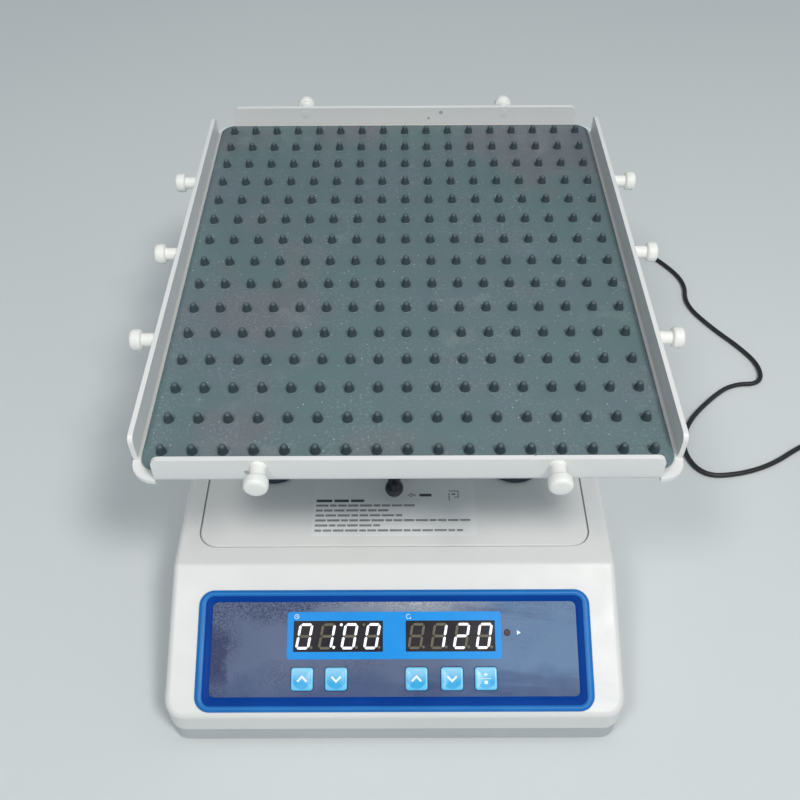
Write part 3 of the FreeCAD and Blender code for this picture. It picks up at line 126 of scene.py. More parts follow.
winding = [coil_point(i / points_per_turn) for i in range(int(coil_turns * points_per_turn) + 1)]
adapter_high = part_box("plug_adapter")[1]
relief_z = 0.0155
relief_end = (coil_middle.x, adapter_high.y - 0.0005, relief_z)
crossing_z = floor_z + 2 * layer_rise
last_loop = [
    (coil_low.x + 0.0028, coil_middle.y + 0.004, crossing_z - 0.0016),
    (coil_low.x + 0.0050, coil_middle.y + 0.011, crossing_z),
    (coil_low.x + 0.0115, coil_middle.y + 0.0165, crossing_z + 0.0004),
    (coil_low.x + 0.0190, coil_middle.y + 0.0165, crossing_z + 0.0006),
    (coil_low.x + 0.0245, coil_middle.y + 0.0115, crossing_z + 0.0012),
    (coil_middle.x + 0.0001, coil_middle.y + 0.0030, crossing_z + 0.0030),
    (coil_middle.x, coil_middle.y - 0.0060, relief_z - 0.0012),
    (coil_middle.x, coil_middle.y - 0.0110, relief_z),
    relief_end,
]
lead_points = cord_route + winding + last_loop
lead_data = bpy.data.curves.new("thin_lead", "CURVE")
lead_data.dimensions = "3D"
lead_data.bevel_depth = 1.0
lead_data.bevel_resolution = 6
lead_data.resolution_u = 6
spline = lead_data.splines.new("NURBS")
spline.points.add(len(lead_points) - 1)
for spot, place in zip(spline.points, lead_points):
    spot.co = (*place, 1.0)
    spot.radius = cord_radius
spline.order_u = 3
spline.use_endpoint_u = True
lead = bpy.data.objects.new("thin_lead", lead_data)
scene.collection.objects.link(lead)
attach(lead, "base")
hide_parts("power_cord", "cord_coil")
print("lead", len(cord_route), "route points and", len(winding), "in the coil")

# %% [markdown]
# Light and finishes are made of nodes, and a few small helpers keep their trees readable: one adds a node
# and fills or links its sockets, one does arithmetic, one stretches a value, one mixes two colours, and one
# lays a colour over another where a mask says so.


# %% Node helpers
def add(tree, kind, sockets=None, **settings):
    """New node with settings; sockets are set to a value or linked to another node's output."""
    made = tree.nodes.new(kind)
    for label, value in settings.items():
        setattr(made, label, value)
    for label, value in (sockets or {}).items():
        if isinstance(value, bpy.types.NodeSocket):
            tree.links.new(value, made.inputs[label])
        else:
            made.inputs[label].default_value = value
    return made


def calc(tree, operation, first, second=0.0):
    """Result of one arithmetic step."""
    return add(tree, "ShaderNodeMath", {0: first, 1: second}, operation=operation).outputs[0]


def times(tree, first, second):
    return calc(tree, "MULTIPLY", first, second)


def spread(tree, value, low, high, start=0.0, end=1.0):
    """Value stretched from low..high to start..end and held inside."""
    return add(tree, "ShaderNodeMapRange", {"Value": value, "From Min": low, "From Max": high,
                                            "To Min": start, "To Max": end}).outputs[0]


def blend_colour(tree, share, first, second):
    """Second colour laid over the first by a share."""
    return add(tree, "ShaderNodeMix", {0: share, 6: first, 7: second}, data_type="RGBA").outputs[2]


def layered(tree, colour, *layers):
    """Colour with others laid over it in turn; a layer is a mask, an amount and a colour."""
    for mask, amount, target in layers:
        colour = blend_colour(tree, times(tree, mask, amount), colour, (*target, 1))
    return colour


def object_place(tree):
    return add(tree, "ShaderNodeTexCoord").outputs["Object"]


def noise(tree, place, scale, detail=2.0, roughness=0.5):
    return add(tree, "ShaderNodeTexNoise", {"Vector": place, "Scale": scale, "Detail": detail,
                                            "Roughness": roughness}).outputs["Fac"]


# %% [markdown]
# The stage is a pale bench top and soft light. The instrument in the picture is lit from above on both
# sides, with more from the right, and the tray throws a soft shadow on the cover. So two panels hang high
# up, far enough apart that neither is mirrored in the control panel, a weaker and bluer one fills from
# the front, and the sky is brightest above and to the right and falls off towards the horizon.

# %% Bench and light
bench_colour = (0.72, 0.745, 0.75, 1)
sky_dim = (0.045, 0.062, 0.072, 1)
sky_bright = (0.40, 0.45, 0.48, 1)
sky_way = (0.45, -0.10, 0.89)

bench_mesh = bpy.data.meshes.new("bench_top")
bench_reach = 4.0
bench_corners = [(x * bench_reach, y * bench_reach, 0) for x, y in ((-1, -1), (1, -1), (1, 1), (-1, 1))]
bench_mesh.from_pydata(bench_corners, [], [(0, 1, 2, 3)])
bench = bpy.data.objects.new("bench_top", bench_mesh)
scene.collection.objects.link(bench)


def area_lamp(name, place, target, size, power, colour=(1, 1, 1)):
    """Square lamp at a place, turned towards a target."""
    data = bpy.data.lights.new(name, "AREA")
    data.size = size
    data.energy = power
    data.color = colour
    lamp = bpy.data.objects.new(name, data)
    scene.collection.objects.link(lamp)
    lamp.location = place
    lamp.rotation_euler = (Vector(target) - Vector(place)).to_track_quat("-Z", "Y").to_euler()


aim = (0, 0, 0.1)
area_lamp("right_panel", (0.68, -0.96, 1.84), aim, 0.34, 20, (1.0, 0.97, 0.93))
area_lamp("left_panel", (-0.66, -0.90, 1.84), aim, 0.34, 9.5, (1.0, 0.965, 0.925))
area_lamp("front_panel", (-0.3, -1.9, 0.9), aim, 1.2, 1.5, (0.70, 0.92, 1.0))

world = bpy.data.worlds.new("soft_sky")
scene.world = world
world.use_nodes = True
sky = world.node_tree
sky_place = add(sky, "ShaderNodeTexCoord").outputs["Generated"]
sky_dot = add(sky, "ShaderNodeVectorMath", {0: sky_place, 1: sky_way}, operation="DOT_PRODUCT")
sky_share = spread(sky, sky_dot.outputs["Value"], -0.3, 0.9)
sky_colour = blend_colour(sky, sky_share, sky_dim, sky_bright)
sky.links.new(sky_colour, sky.nodes["Background"].inputs["Color"])

# %% [markdown]
# Effects that many finishes share are node groups, built once: a slow drift between two colours, fine
# grain, dust specks and long scuffs. A group only puts out colours, masks and values; the Principled
# shader stays in the material itself.


# %% Shared effects
def new_group(name, inputs, build):
    """Node group with these inputs; build(tree, given) returns its results by name."""
    tree = bpy.data.node_groups.new(name, "ShaderNodeTree")
    for label, value in inputs.items():
        kind = "NodeSocketColor" if isinstance(value, tuple) else "NodeSocketFloat"
        tree.interface.new_socket(label, in_out="INPUT", socket_type=kind).default_value = value
    results = build(tree, tree.nodes.new("NodeGroupInput").outputs)
    for label in results:
        kind = "NodeSocketColor" if label == "Color" else "NodeSocketFloat"
        tree.interface.new_socket(label, in_out="OUTPUT", socket_type=kind)
    group_end = tree.nodes.new("NodeGroupOutput")
    for label, socket in results.items():
        tree.links.new(socket, group_end.inputs[label])
    return tree


def use(tree, group, sockets):
    """Places a shared group in a tree."""
    return add(tree, "ShaderNodeGroup", sockets, node_tree=group).outputs


def drift_nodes(tree, given):
    low = calc(tree, "SUBTRACT", 0.5, given["Contrast"])
    high = calc(tree, "ADD", 0.5, given["Contrast"])
    share = spread(tree, noise(tree, object_place(tree), given["Scale"], 3.0), low, high)
    return {"Color": blend_colour(tree, share, given["First"], given["Second"])}


def grain_nodes(tree, given):
    place = object_place(tree)
    return {"Height": noise(tree, place, given["Scale"], 3.0, 0.6),
            "Slow": noise(tree, place, times(tree, given["Scale"], 0.04))}


def speck_nodes(tree, given):
    cells = add(tree, "ShaderNodeTexVoronoi", {"Vector": object_place(tree), "Scale": given["Scale"],
                                               "Randomness": 1.0}).outputs
    small = calc(tree, "LESS_THAN", cells["Distance"], given["Size"])
    pick = add(tree, "ShaderNodeSeparateColor", {"Color": cells["Color"]}).outputs[0]
    return {"Mask": times(tree, small, calc(tree, "LESS_THAN", pick, given["Amount"]))}


def scuff_nodes(tree, given):
    place = object_place(tree)
    turned = add(tree, "ShaderNodeVectorRotate", {"Vector": place, "Angle": given["Angle"]},
                 rotation_type="Z_AXIS")
    axes = add(tree, "ShaderNodeSeparateXYZ", {0: turned.outputs[0]}).outputs
    squeezed = times(tree, axes["X"], given["Stretch"])
    drawn = add(tree, "ShaderNodeCombineXYZ", {"X": squeezed, "Y": axes["Y"], "Z": axes["Z"]}).outputs[0]
    streak = noise(tree, drawn, given["Scale"], 4.0, 0.6)
    line = spread(tree, streak, given["Limit"], calc(tree, "ADD", given["Limit"], 0.06))
    return {"Mask": times(tree, line, spread(tree, noise(tree, place, 14.0, 1.0), 0.45, 0.62))}


white = (1.0, 1.0, 1.0, 1.0)
colour_drift = new_group("colour_drift", {"First": white, "Second": white, "Scale": 10.0, "Contrast": 0.15},
                         drift_nodes)
fine_grain = new_group("fine_grain", {"Scale": 900.0}, grain_nodes)
dust_specks = new_group("dust_specks", {"Scale": 200.0, "Size": 0.1, "Amount": 0.3}, speck_nodes)
long_scuffs = new_group("long_scuffs", {"Scale": 40.0, "Stretch": 0.2, "Limit": 0.62, "Angle": 0.3},
                        scuff_nodes)
print("groups", [g.name for g in bpy.data.node_groups])


# %% [markdown]
# Most finishes are the same recipe with other values: two near colours that drift, fine grain that
# makes both the bump and the change in gloss, and some dust or scuffs. The recipe is one function, and a
# finish that needs more, such as the mat or the panel film, adds its own nodes to what it returns.


# %% The finish recipe
def surface(name, first, second, rough, drift, grain, depth, contrast=0.2, dust=0.0, dust_scale=260.0,
            dust_colour=(0.75, 0.75, 0.74), scuff=0.0, scuff_limit=0.62, scuff_colour=(0.8, 0.8, 0.8),
            **fixed):
    """Principled material from the shared effects; fixed sets the shader's own sockets by name."""
    material = bpy.data.materials.new(name)
    material.use_nodes = True
    tree = material.node_tree
    shader = tree.nodes["Principled BSDF"]
    for label, value in fixed.items():
        shader.inputs[label.replace("_", " ")].default_value = value
    colour = use(tree, colour_drift, {"First": (*first, 1), "Second": (*second, 1), "Scale": drift,
                                      "Contrast": contrast})["Color"]
    if dust:
        mask = use(tree, dust_specks, {"Scale": dust_scale, "Size": 0.16, "Amount": dust})["Mask"]
        colour = layered(tree, colour, (mask, 0.7, dust_colour))
    if scuff:
        mask = use(tree, long_scuffs, {"Limit": scuff_limit})["Mask"]
        colour = layered(tree, colour, (mask, scuff, scuff_colour))
    texture = use(tree, fine_grain, {"Scale": grain})
    tree.links.new(colour, shader.inputs["Base Color"])
    tree.links.new(spread(tree, texture["Slow"], 0.3, 0.7, *rough), shader.inputs["Roughness"])
    bump = add(tree, "ShaderNodeBump", {"Height": texture["Height"], "Distance": depth, "Strength": 1.0})
    tree.links.new(bump.outputs[0], shader.inputs["Normal"])
    return material


def recolour(material, make):
    """Puts make(tree, colour socket) between a finish's colour and its shader."""
    tree = material.node_tree
    socket = tree.nodes["Principled BSDF"].inputs["Base Color"]
    tree.links.new(make(tree, socket.links[0].from_socket), socket)


# %% Paints, plastics and rubbers
enamel = surface(
    "white_enamel", (0.77, 0.77, 0.755), (0.73, 0.735, 0.73), (0.38, 0.5), 9, 1400, 0.000012, scuff=0.35,
    scuff_limit=0.66, scuff_colour=(0.58, 0.59, 0.61), Coat_Weight=0.1, Coat_Roughness=0.3)
pan_paint = surface("pan_enamel", (0.50, 0.52, 0.54), (0.46, 0.48, 0.50), (0.45, 0.55), 12, 1200, 0.000015)
tray_paint = surface(
    "tray_enamel", (0.82, 0.82, 0.81), (0.78, 0.785, 0.78), (0.40, 0.52), 14, 1500, 0.000012, dust=0.03,
    dust_scale=120, dust_colour=(0.30, 0.26, 0.30), scuff=0.2, Coat_Weight=0.15, Coat_Roughness=0.2)
nylon = surface(
    "peg_nylon", (0.90, 0.90, 0.86), (0.85, 0.855, 0.82), (0.42, 0.52), 60, 1600, 0.00002,
    Subsurface_Weight=0.12, Subsurface_Radius=(0.004, 0.004, 0.003))
foot_rubber = surface(
    "foot_rubber", (0.025, 0.026, 0.028), (0.035, 0.036, 0.038), (0.6, 0.75), 40, 1800, 0.00004, dust=0.05)
cord_pvc = surface("lead_pvc", (0.012, 0.013, 0.016), (0.02, 0.021, 0.024), (0.38, 0.5), 60, 2600, 0.00002)
black_plastic = surface(
    "black_plastic", (0.016, 0.017, 0.019), (0.024, 0.025, 0.027), (0.42, 0.55), 50, 2400, 0.00003,
    dust=0.04)
knob_black = surface(
    "knob_black", (0.004, 0.006, 0.016), (0.008, 0.010, 0.024), (0.18, 0.28), 60, 900, 0.000006,
    Coat_Weight=0.2, Coat_Roughness=0.08)
isolator_grey = surface(
    "isolator_rubber", (0.030, 0.045, 0.070), (0.045, 0.060, 0.085), (0.5, 0.65), 60, 1800, 0.00003)
belt_black = surface("belt_rubber", (0.02, 0.02, 0.02), (0.03, 0.03, 0.03), (0.6, 0.7), 60, 3000, 0.00004)
motor_black = surface(
    "motor_enamel", (0.02, 0.02, 0.022), (0.03, 0.03, 0.032), (0.4, 0.5), 40, 900, 0.00002)

# %% [markdown]
# Metals are the same recipe with the metallic value at 1. Zinc plating is cloudy and a little blue,
# turned steel is smooth and bright, and cast alloy has a coarse skin that takes a deeper bump.

# %% Metals and boards
zinc = surface(
    "zinc_plate", (0.60, 0.62, 0.65), (0.48, 0.51, 0.56), (0.28, 0.48), 70, 1100, 0.00001, contrast=0.22,
    dust=0.02, Metallic=1.0)
steel = surface(
    "bright_steel", (0.72, 0.72, 0.73), (0.62, 0.63, 0.65), (0.16, 0.30), 50, 1500, 0.000006, Metallic=1.0)
alloy = surface(
    "cast_alloy", (0.52, 0.53, 0.54), (0.42, 0.43, 0.45), (0.42, 0.58), 50, 700, 0.00005, Metallic=1.0)
board_green = surface(
    "circuit_board", (0.015, 0.10, 0.04), (0.02, 0.13, 0.055), (0.3, 0.45), 90, 900, 0.00002, contrast=0.1,
    Coat_Weight=0.3, Coat_Roughness=0.15)
print("finishes so far", len(bpy.data.materials))

# %% [markdown]
# The mat is slate rubber that has seen many bottles. Its sheet drifts between a green and a violet grey
# and carries pale dust and faint rubbed streaks. The dimples are darker, partly because dust settles on
# the flat and partly as painted shade on their sides and foot, and their tips carry a painted highlight.
# The height of a point over the sheet tells these apart, so one material serves both.

# %% Mat rubber
mat_low, mat_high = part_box("dimple_mat")
mat_sheet = 0.0028
dimple_height = 0.0055
rubber = surface(
    "mat_rubber", (0.115, 0.180, 0.188), (0.125, 0.172, 0.195), (0.46, 0.62), 16, 1600, 0.00003,
    contrast=0.12, dust=0.10, dust_scale=420, dust_colour=(0.50, 0.55, 0.56), scuff=0.10, scuff_limit=0.60,
    scuff_colour=(0.42, 0.47, 0.48))


def mat_colour(tree, colour):
    """Violet patches, a dusty sheet, dimples darkened by less dust and painted shade, and painted highlights
    on their tips.
    """
    place = object_place(tree)
    violet = spread(tree, noise(tree, place, 9.0, 3.0, 0.6), 0.52, 0.60)
    stain = spread(tree, noise(tree, place, 30.0, 5.0, 0.7), 0.58, 0.78)
    powder = spread(tree, noise(tree, place, 620.0, 2.0, 0.6), 0.54, 0.66)
    patchy = spread(tree, noise(tree, place, 34.0, 3.0, 0.6), 0.42, 0.58)
    height = add(tree, "ShaderNodeSeparateXYZ", {0: place}).outputs["Z"]
    # Partly painted shade: the dimples are darker from the sheet up, for less dust and for shade on their
    # sides and foot.
    stud = spread(tree, height, mat_low.z + mat_sheet + 0.00002, mat_low.z + mat_sheet + 0.0006)
    # Painted highlight: the dimples' tips are paler.
    painted_tip_highlight = spread(tree, height, mat_low.z + mat_sheet + 0.0044, mat_low.z + mat_sheet + 0.0055)
    return layered(tree, colour, (violet, 0.55, (0.165, 0.160, 0.182)), (stain, 0.30, (0.36, 0.40, 0.40)),
                   (times(tree, powder, patchy), 0.26, (0.38, 0.43, 0.44)),
                   (stud, 1.0, (0.044, 0.067, 0.080)), (painted_tip_highlight, 0.45, (0.14, 0.19, 0.205)))


recolour(rubber, mat_colour)
print("mat sheet from", round(mat_low.z, 4), "to", round(mat_low.z + mat_sheet, 4))

# %% [markdown]
# Meshes come next. Two builders cover nearly all of them. One turns a profile about an axis, as a lathe
# does, for the dimples, the pegs and their screws. The other stacks outlines of a rounded rectangle, each
# with its own inset and height, for the mat and the keys.


# %% Mesh helpers
def mesh_piece(name, vertices, faces, material, body, slot, placed=None, smooth=True):
    """Object from plain lists, put in its place, on its body."""
    mesh = bpy.data.meshes.new(name)
    mesh.from_pydata(vertices, [], faces)
    if placed is not None:
        mesh.transform(placed)
    mesh.validate()
    work = bmesh.new()
    work.from_mesh(mesh)
    bmesh.ops.recalc_face_normals(work, faces=work.faces)
    work.to_mesh(mesh)
    work.free()
    mesh.polygons.foreach_set("use_smooth", [smooth] * len(mesh.polygons))
    if smooth:
        mesh.set_sharp_from_angle(angle=math.radians(38))
    mesh.materials.append(material)
    made = bpy.data.objects.new(name, mesh)
    scene.collection.objects.link(made)
    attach(made, body)
    return made


def lathe(profile, steps=24):
    """Vertices and faces of a profile of radius and height pairs, turned about z."""
    vertices = []
    faces = []
    rings = []
    for radius, height in profile:
        if radius < 1e-7:
            rings.append([len(vertices)])
            vertices.append((0, 0, height))
            continue
        rings.append(list(range(len(vertices), len(vertices) + steps)))
        turns = [2 * math.pi * i / steps for i in range(steps)]
        vertices += [(radius * math.cos(a), radius * math.sin(a), height) for a in turns]
    for below, above in zip(rings, rings[1:]):
        for i in range(steps):
            j = (i + 1) % steps
            quad = [ring[k % len(ring)] for ring, k in ((below, i), (below, j), (above, j), (above, i))]
            faces.append(tuple(dict.fromkeys(quad)))
    return vertices, faces


def together(*forms):
    """Several forms as one list of vertices and one of faces."""
    vertices = []
    faces = []
    for more, more_faces in forms:
        start = len(vertices)
        vertices += more
        faces += [tuple(start + i for i in face) for face in more_faces]
    return vertices, faces


def repeated(form, places):
    """The same form at many places; a place is a matrix."""
    return together(*[([tuple(place @ Vector(v)) for v in form[0]], form[1]) for place in places])


def outline(half_x, half_y, radius, steps=8):
    """Points round a rectangle with rounded corners."""
    points = []
    for quarter, (sx, sy) in enumerate(((1, 1), (-1, 1), (-1, -1), (1, -1))):
        for i in range(steps + 1):
            a = math.pi / 2 * (quarter + i / steps)
            points.append((sx * (half_x - radius) + radius * math.cos(a),
                           sy * (half_y - radius) + radius * math.sin(a)))
    return points


def walls(count, pairs):
    """Faces between pairs of outlines that have the same count of points."""
    steps = [(i, (i + 1) % count) for i in range(count)]
    return [(low * count + i, low * count + j, high * count + j, high * count + i)
            for low, high in pairs for i, j in steps]


def stacked(half_x, half_y, radius, levels, middle=(0, 0), steps=8):
    """Closed body from rounded outlines, one for each inset and height."""
    vertices = []
    count = 4 * (steps + 1)
    last = len(levels) - 1
    for inset, height in levels:
        corner = max(radius - inset, 0.0002)
        vertices += [(middle[0] + x, middle[1] + y, height)
                     for x, y in outline(half_x - inset, half_y - inset, corner, steps)]
    caps = [tuple(range(count)), tuple(range(last * count, (last + 1) * count))]
    return vertices, walls(count, [(k, k + 1) for k in range(last)]) + caps


def arc_profile(centre, radius, start, end, steps=5):
    """Radius and height pairs along an arc, angles in degrees."""
    turns = [math.radians(start + (end - start) * i / steps) for i in range(steps + 1)]
    return [(centre[0] + radius * math.cos(a), centre[1] + radius * math.sin(a)) for a in turns]


# %% [markdown]
# The dimples are moulded with the sheet, so each one flares softly into it and ends in a round tip.
# They stand on a grid of 17 by 15. The mat lies loose in the tray and can be lifted, so it rides on its
# own body and replaces the plain solid.

# %% Dimpled mat
dimple_pitch_x = 0.0147
dimple_pitch_y = 0.02035
columns = 17
rows = 15
dimple_base = 0.0025
dimple_tip = 0.0018
mat_spread = 0.0009
mat_middle = (mat_low + mat_high) / 2
sheet_bottom = mat_low.z + 0.00004
sheet_top = mat_low.z + mat_sheet
tip_z = dimple_height - dimple_tip
dimple = lathe([(dimple_base + 0.0005, -0.0002), (dimple_base + 0.0004, 0.00005), (dimple_base, 0.0003),
                (dimple_base - 0.0001, 0.0010)] + arc_profile((0, tip_z), dimple_tip, 5, 90, 7), 20)
dimple_places = [Matrix.Translation((i * dimple_pitch_x, mat_middle.y + j * dimple_pitch_y, sheet_top))
                 for i in range(-(columns // 2), columns // 2 + 1)
                 for j in range(-(rows // 2), rows // 2 + 1)]
soft = 0.0006
sheet = stacked((mat_high.x - mat_low.x) / 2 + mat_spread, (mat_high.y - mat_low.y) / 2 + mat_spread, 0.0088,
                [(2 * mat_spread, sheet_bottom), (mat_spread, sheet_bottom + mat_spread),
                 (0.0, sheet_bottom + 2 * mat_spread), (0.0, sheet_top - soft),
                 (0.3 * soft, sheet_top - 0.3 * soft), (soft, sheet_top)], (mat_middle.x, mat_middle.y))
mat = mesh_piece("rubber_mat", *together(sheet, repeated(dimple, dimple_places)), rubber, "mat",
                 "mat_rubber")
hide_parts("dimple_mat")
print("dimples", len(dimple_places))

# %% [markdown]
# The tray is one sheet of steel, 2.5 mm thick, with its four edges bent up and the corners left open.
# A block with sharp inner corners wouldn't catch the light as a bend does. So the outer skin is built
# as a floor with holes and four bent strips, and the Solidify and Bevel modifiers give it its thickness
# and its broken edges.

# %% Bent tray
tray_low, tray_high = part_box("tray")
tray_middle = (tray_low + tray_high) / 2
tray_half_x = (tray_high.x - tray_low.x) / 2
tray_half_y = (tray_high.y - tray_low.y) / 2
side_halves = ((tray_half_x, tray_half_y), (tray_half_y, tray_half_x))
tray_sheet = 0.0025
floor_corner = 0.0118
rail_setback = 0.0128
rail_corner = 0.004
bend = 0.0050
hole_steps = 40
screw_low, screw_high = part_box("carrier_screws")
screw_head = 0.0042
screw_slack = 0.00005
centre_hole = 0.014


def rail_stations(half):
    """Places along a rail, close together where its top corners are round."""
    end = half - rail_setback
    near = [end - rail_corner * (1 - math.cos(math.radians(15 * i))) for i in range(7)]
    return [-x for x in near] + near[::-1]


def rail_height_at(s, half):
    """Height of the rail's top edge above the tray's lower face."""
    inside = half - rail_setback - abs(s)
    missing = rail_corner - min(inside, rail_corner)
    return tray_high.z - tray_low.z - rail_corner + math.sqrt(rail_corner ** 2 - missing ** 2)


def bent_rail(half_across, half_along):
    """Outer skin of one rail on the +x side, from the bend line up."""
    rows_of = []
    for s in rail_stations(half_along):
        row = [(x, s, z) for x, z in arc_profile((half_across - bend, bend), bend, -90, 0, 6)]
        rows_of.append(row + [(half_across, s, rail_height_at(s, half_along))])
    vertices = [v for row in rows_of for v in row]
    width = len(rows_of[0])
    faces = [(i * width + k, (i + 1) * width + k, (i + 1) * width + k + 1, i * width + k + 1)
             for i in range(len(rows_of) - 1) for k in range(width - 1)]
    return vertices, faces


def floor_outline():
    """Closed outline of the floor, set back to the bend line along each rail."""
    points = []
    for quarter in range(4):
        turn = Matrix.Rotation(math.pi / 2 * quarter, 2)
        across_half, along_half = side_halves[quarter % 2]
        side = [(across_half - bend, s) for s in rail_stations(along_half)]
        arc = arc_profile((across_half - floor_corner, along_half - floor_corner), floor_corner, 0, 90, 6)
        side += [(across_half, along_half - rail_setback)] + arc
        side += [(across_half - rail_setback, along_half)]
        points += [tuple(turn @ Vector(p)) for p in side]
    return points


work = bmesh.new()
loops = [floor_outline()]
hole_places = [((0, 0), centre_hole)]
hole_places += [((x, y - tray_middle.y), screw_head + screw_slack)
                for x in (screw_low.x + screw_head, screw_high.x - screw_head)
                for y in (screw_low.y + screw_head, screw_high.y - screw_head)]
for (x, y), radius in hole_places:
    turns = [2 * math.pi * i / hole_steps for i in range(hole_steps)]
    loops.append([(x + radius * math.cos(a), y + radius * math.sin(a)) for a in turns])
edges = []
for loop in loops:
    ring_vertices = [work.verts.new((x, y, 0)) for x, y in loop]
    edges += [work.edges.new((a, b)) for a, b in zip(ring_vertices, ring_vertices[1:] + ring_vertices[:1])]
bmesh.ops.triangle_fill(work, use_beauty=True, use_dissolve=False, edges=edges)
for quarter in range(4):
    vertices, faces = bent_rail(*side_halves[quarter % 2])
    turn = Matrix.Rotation(math.pi / 2 * quarter, 4, "Z")
    made = [work.verts.new(turn @ Vector(v)) for v in vertices]
    for face in faces:
        work.faces.new([made[i] for i in face])
bmesh.ops.remove_doubles(work, verts=work.verts, dist=0.00001)
bmesh.ops.recalc_face_normals(work, faces=work.faces)
down = sum((f.normal.z * f.calc_area() for f in work.faces if abs(f.normal.z) > 0.9), 0.0)
if down > 0:
    bmesh.ops.reverse_faces(work, faces=work.faces)
bmesh.ops.translate(work, verts=work.verts, vec=(tray_middle.x, tray_middle.y, tray_low.z))
tray_mesh = bpy.data.meshes.new("bent_tray")
work.to_mesh(tray_mesh)
work.free()
tray_mesh.polygons.foreach_set("use_smooth", [True] * len(tray_mesh.polygons))
tray_mesh.materials.append(tray_paint)
tray = bpy.data.objects.new("bent_tray", tray_mesh)
scene.collection.objects.link(tray)
thick = tray.modifiers.new("sheet", "SOLIDIFY")
thick.thickness = tray_sheet
thick.offset = -1
thick.use_even_offset = True
soften = tray.modifiers.new("broken_edges", "BEVEL")
soften.width = 0.0005
soften.segments = 2
soften.limit_method = "ANGLE"
soften.angle_limit = math.radians(50)
soften.harden_normals = True
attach(tray, "platform")
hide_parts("tray")
print("tray", len(tray_mesh.polygons), "faces before its modifiers")

# %% [markdown]
# Ten nylon pegs hold the rubber bands that keep bottles in place. Each is a turned form with a small
# collar, a thin neck and a wide, rounded head. A flush countersunk screw holds it from inside the rail,
# its head painted over with the tray.

# %% Band pegs
peg_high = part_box("band_pegs")[1]
peg_reach = peg_high.x - tray_high.x
peg_radius = 0.00575
neck_radius = 0.0036
neck_length = 0.0072
peg_z = peg_high.z - peg_radius
front_spread = 0.069
side_pitch = 0.072
front_round = 0.0020
back_round = 0.0015
peg = lathe([(0.0, 0.0), (neck_radius + 0.0004, 0.0), (neck_radius + 0.0004, 0.0003), (neck_radius, 0.0007),
             (neck_radius, neck_length - 0.0004), (neck_radius + 0.0004, neck_length)]
            + arc_profile((peg_radius - back_round, neck_length + back_round), back_round, -90, 0, 4)
            + arc_profile((peg_radius - front_round, peg_reach - front_round), front_round, 0, 78, 6)
            + [(peg_radius * 0.35, peg_reach - 0.00002), (0.0, peg_reach)], 32)
peg_spots = []
for side in (-1, 1):
    peg_spots += [((x, tray_middle.y + side * tray_half_y, peg_z), (0, side, 0))
                  for x in (-front_spread, front_spread)]
    peg_spots += [((side * tray_half_x, tray_middle.y + y, peg_z), (side, 0, 0))
                  for y in (-side_pitch, 0, side_pitch)]


def pointing(spot, way):
    """Matrix that stands an upright form at a spot and points it along way."""
    return Matrix.Translation(spot) @ Vector((0, 0, 1)).rotation_difference(Vector(way)).to_matrix().to_4x4()


pegs = mesh_piece("nylon_pegs", *repeated(peg, [pointing(*s) for s in peg_spots]), nylon, "platform",
                  "peg_plastic")
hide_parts("band_pegs")
stud = lathe([(0.0031, 0.0), (0.0030, 0.00003), (0.0016, 0.00005), (0.0, 0.00006)], 24)
stud_places = [pointing(Vector(spot) - tray_sheet * Vector(way), (-way[0], -way[1], 0))
               for spot, way in peg_spots]
studs = mesh_piece("peg_stud_heads", *repeated(stud, stud_places), tray_paint, "platform", "zinc_steel")
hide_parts("peg_screws")
print("pegs", len(peg_spots))

# %% [markdown]
# The control panel is built flat and then laid on the slope. Its tilt is read from the largest face of
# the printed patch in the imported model, so nothing has to be measured twice. In the panel's own frame a
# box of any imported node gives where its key, window or lamp sits.

# %% The panel's own frame
patch_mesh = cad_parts["display_patch"].data
normal = max(patch_mesh.polygons, key=lambda face: face.area).normal
tilt = math.atan2(abs(normal.y), abs(normal.z))
panel = Matrix.Rotation(tilt, 4, "X")
panel_back = panel.inverted()


def panel_box(node):
    """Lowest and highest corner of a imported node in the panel's frame."""
    corners = [panel_back @ v.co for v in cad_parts[node].data.vertices]
    return (Vector([min(c[i] for c in corners) for i in range(3)]),
            Vector([max(c[i] for c in corners) for i in range(3)]))


def middle_of(box):
    return (box[0] + box[1]) / 2


film_box = panel_box("panel_film")
bezel_box = panel_box("bezel_frame")
patch_box = panel_box("display_patch")
print("panel tilt", round(math.degrees(tilt), 2), "film", [round(v, 4) for v in film_box[1] - film_box[0]])

# %% [markdown]
# The bezel is blue plastic in two parts: a rim that stands proud of the slope, with a rounded
# bevel, and a ledge that falls from the rim to the film. Both are one blue plastic: the rim's brighter
# blue is painted light and the ledge's darker blue is painted shade. The ledge is wider at the bottom than
# at the top, so one inset for all sides wouldn't do. Each outline here has its own inset for the two
# sides, for the top and for the bottom, and a closed stack of them gives the ring its section.


# %% Bezel
def ring_body(levels, box, radius, steps=12):
    """Ring from outlines inside a box; a level is the inset at the sides, top and bottom, and its height."""
    low, high = box
    vertices = []
    count = 4 * (steps + 1)
    for side, above, below, height in levels:
        half_x = (high.x - low.x) / 2 - side
        half_y = (high.y - low.y - above - below) / 2
        middle_y = (high.y + low.y + below - above) / 2
        corner = max(radius - (above + side) / 2, 0.0028)
        vertices += [((low.x + high.x) / 2 + x, middle_y + y, height)
                     for x, y in outline(half_x, half_y, corner, steps)]
    return vertices, walls(count, [(k, (k + 1) % len(levels)) for k in range(len(levels))])
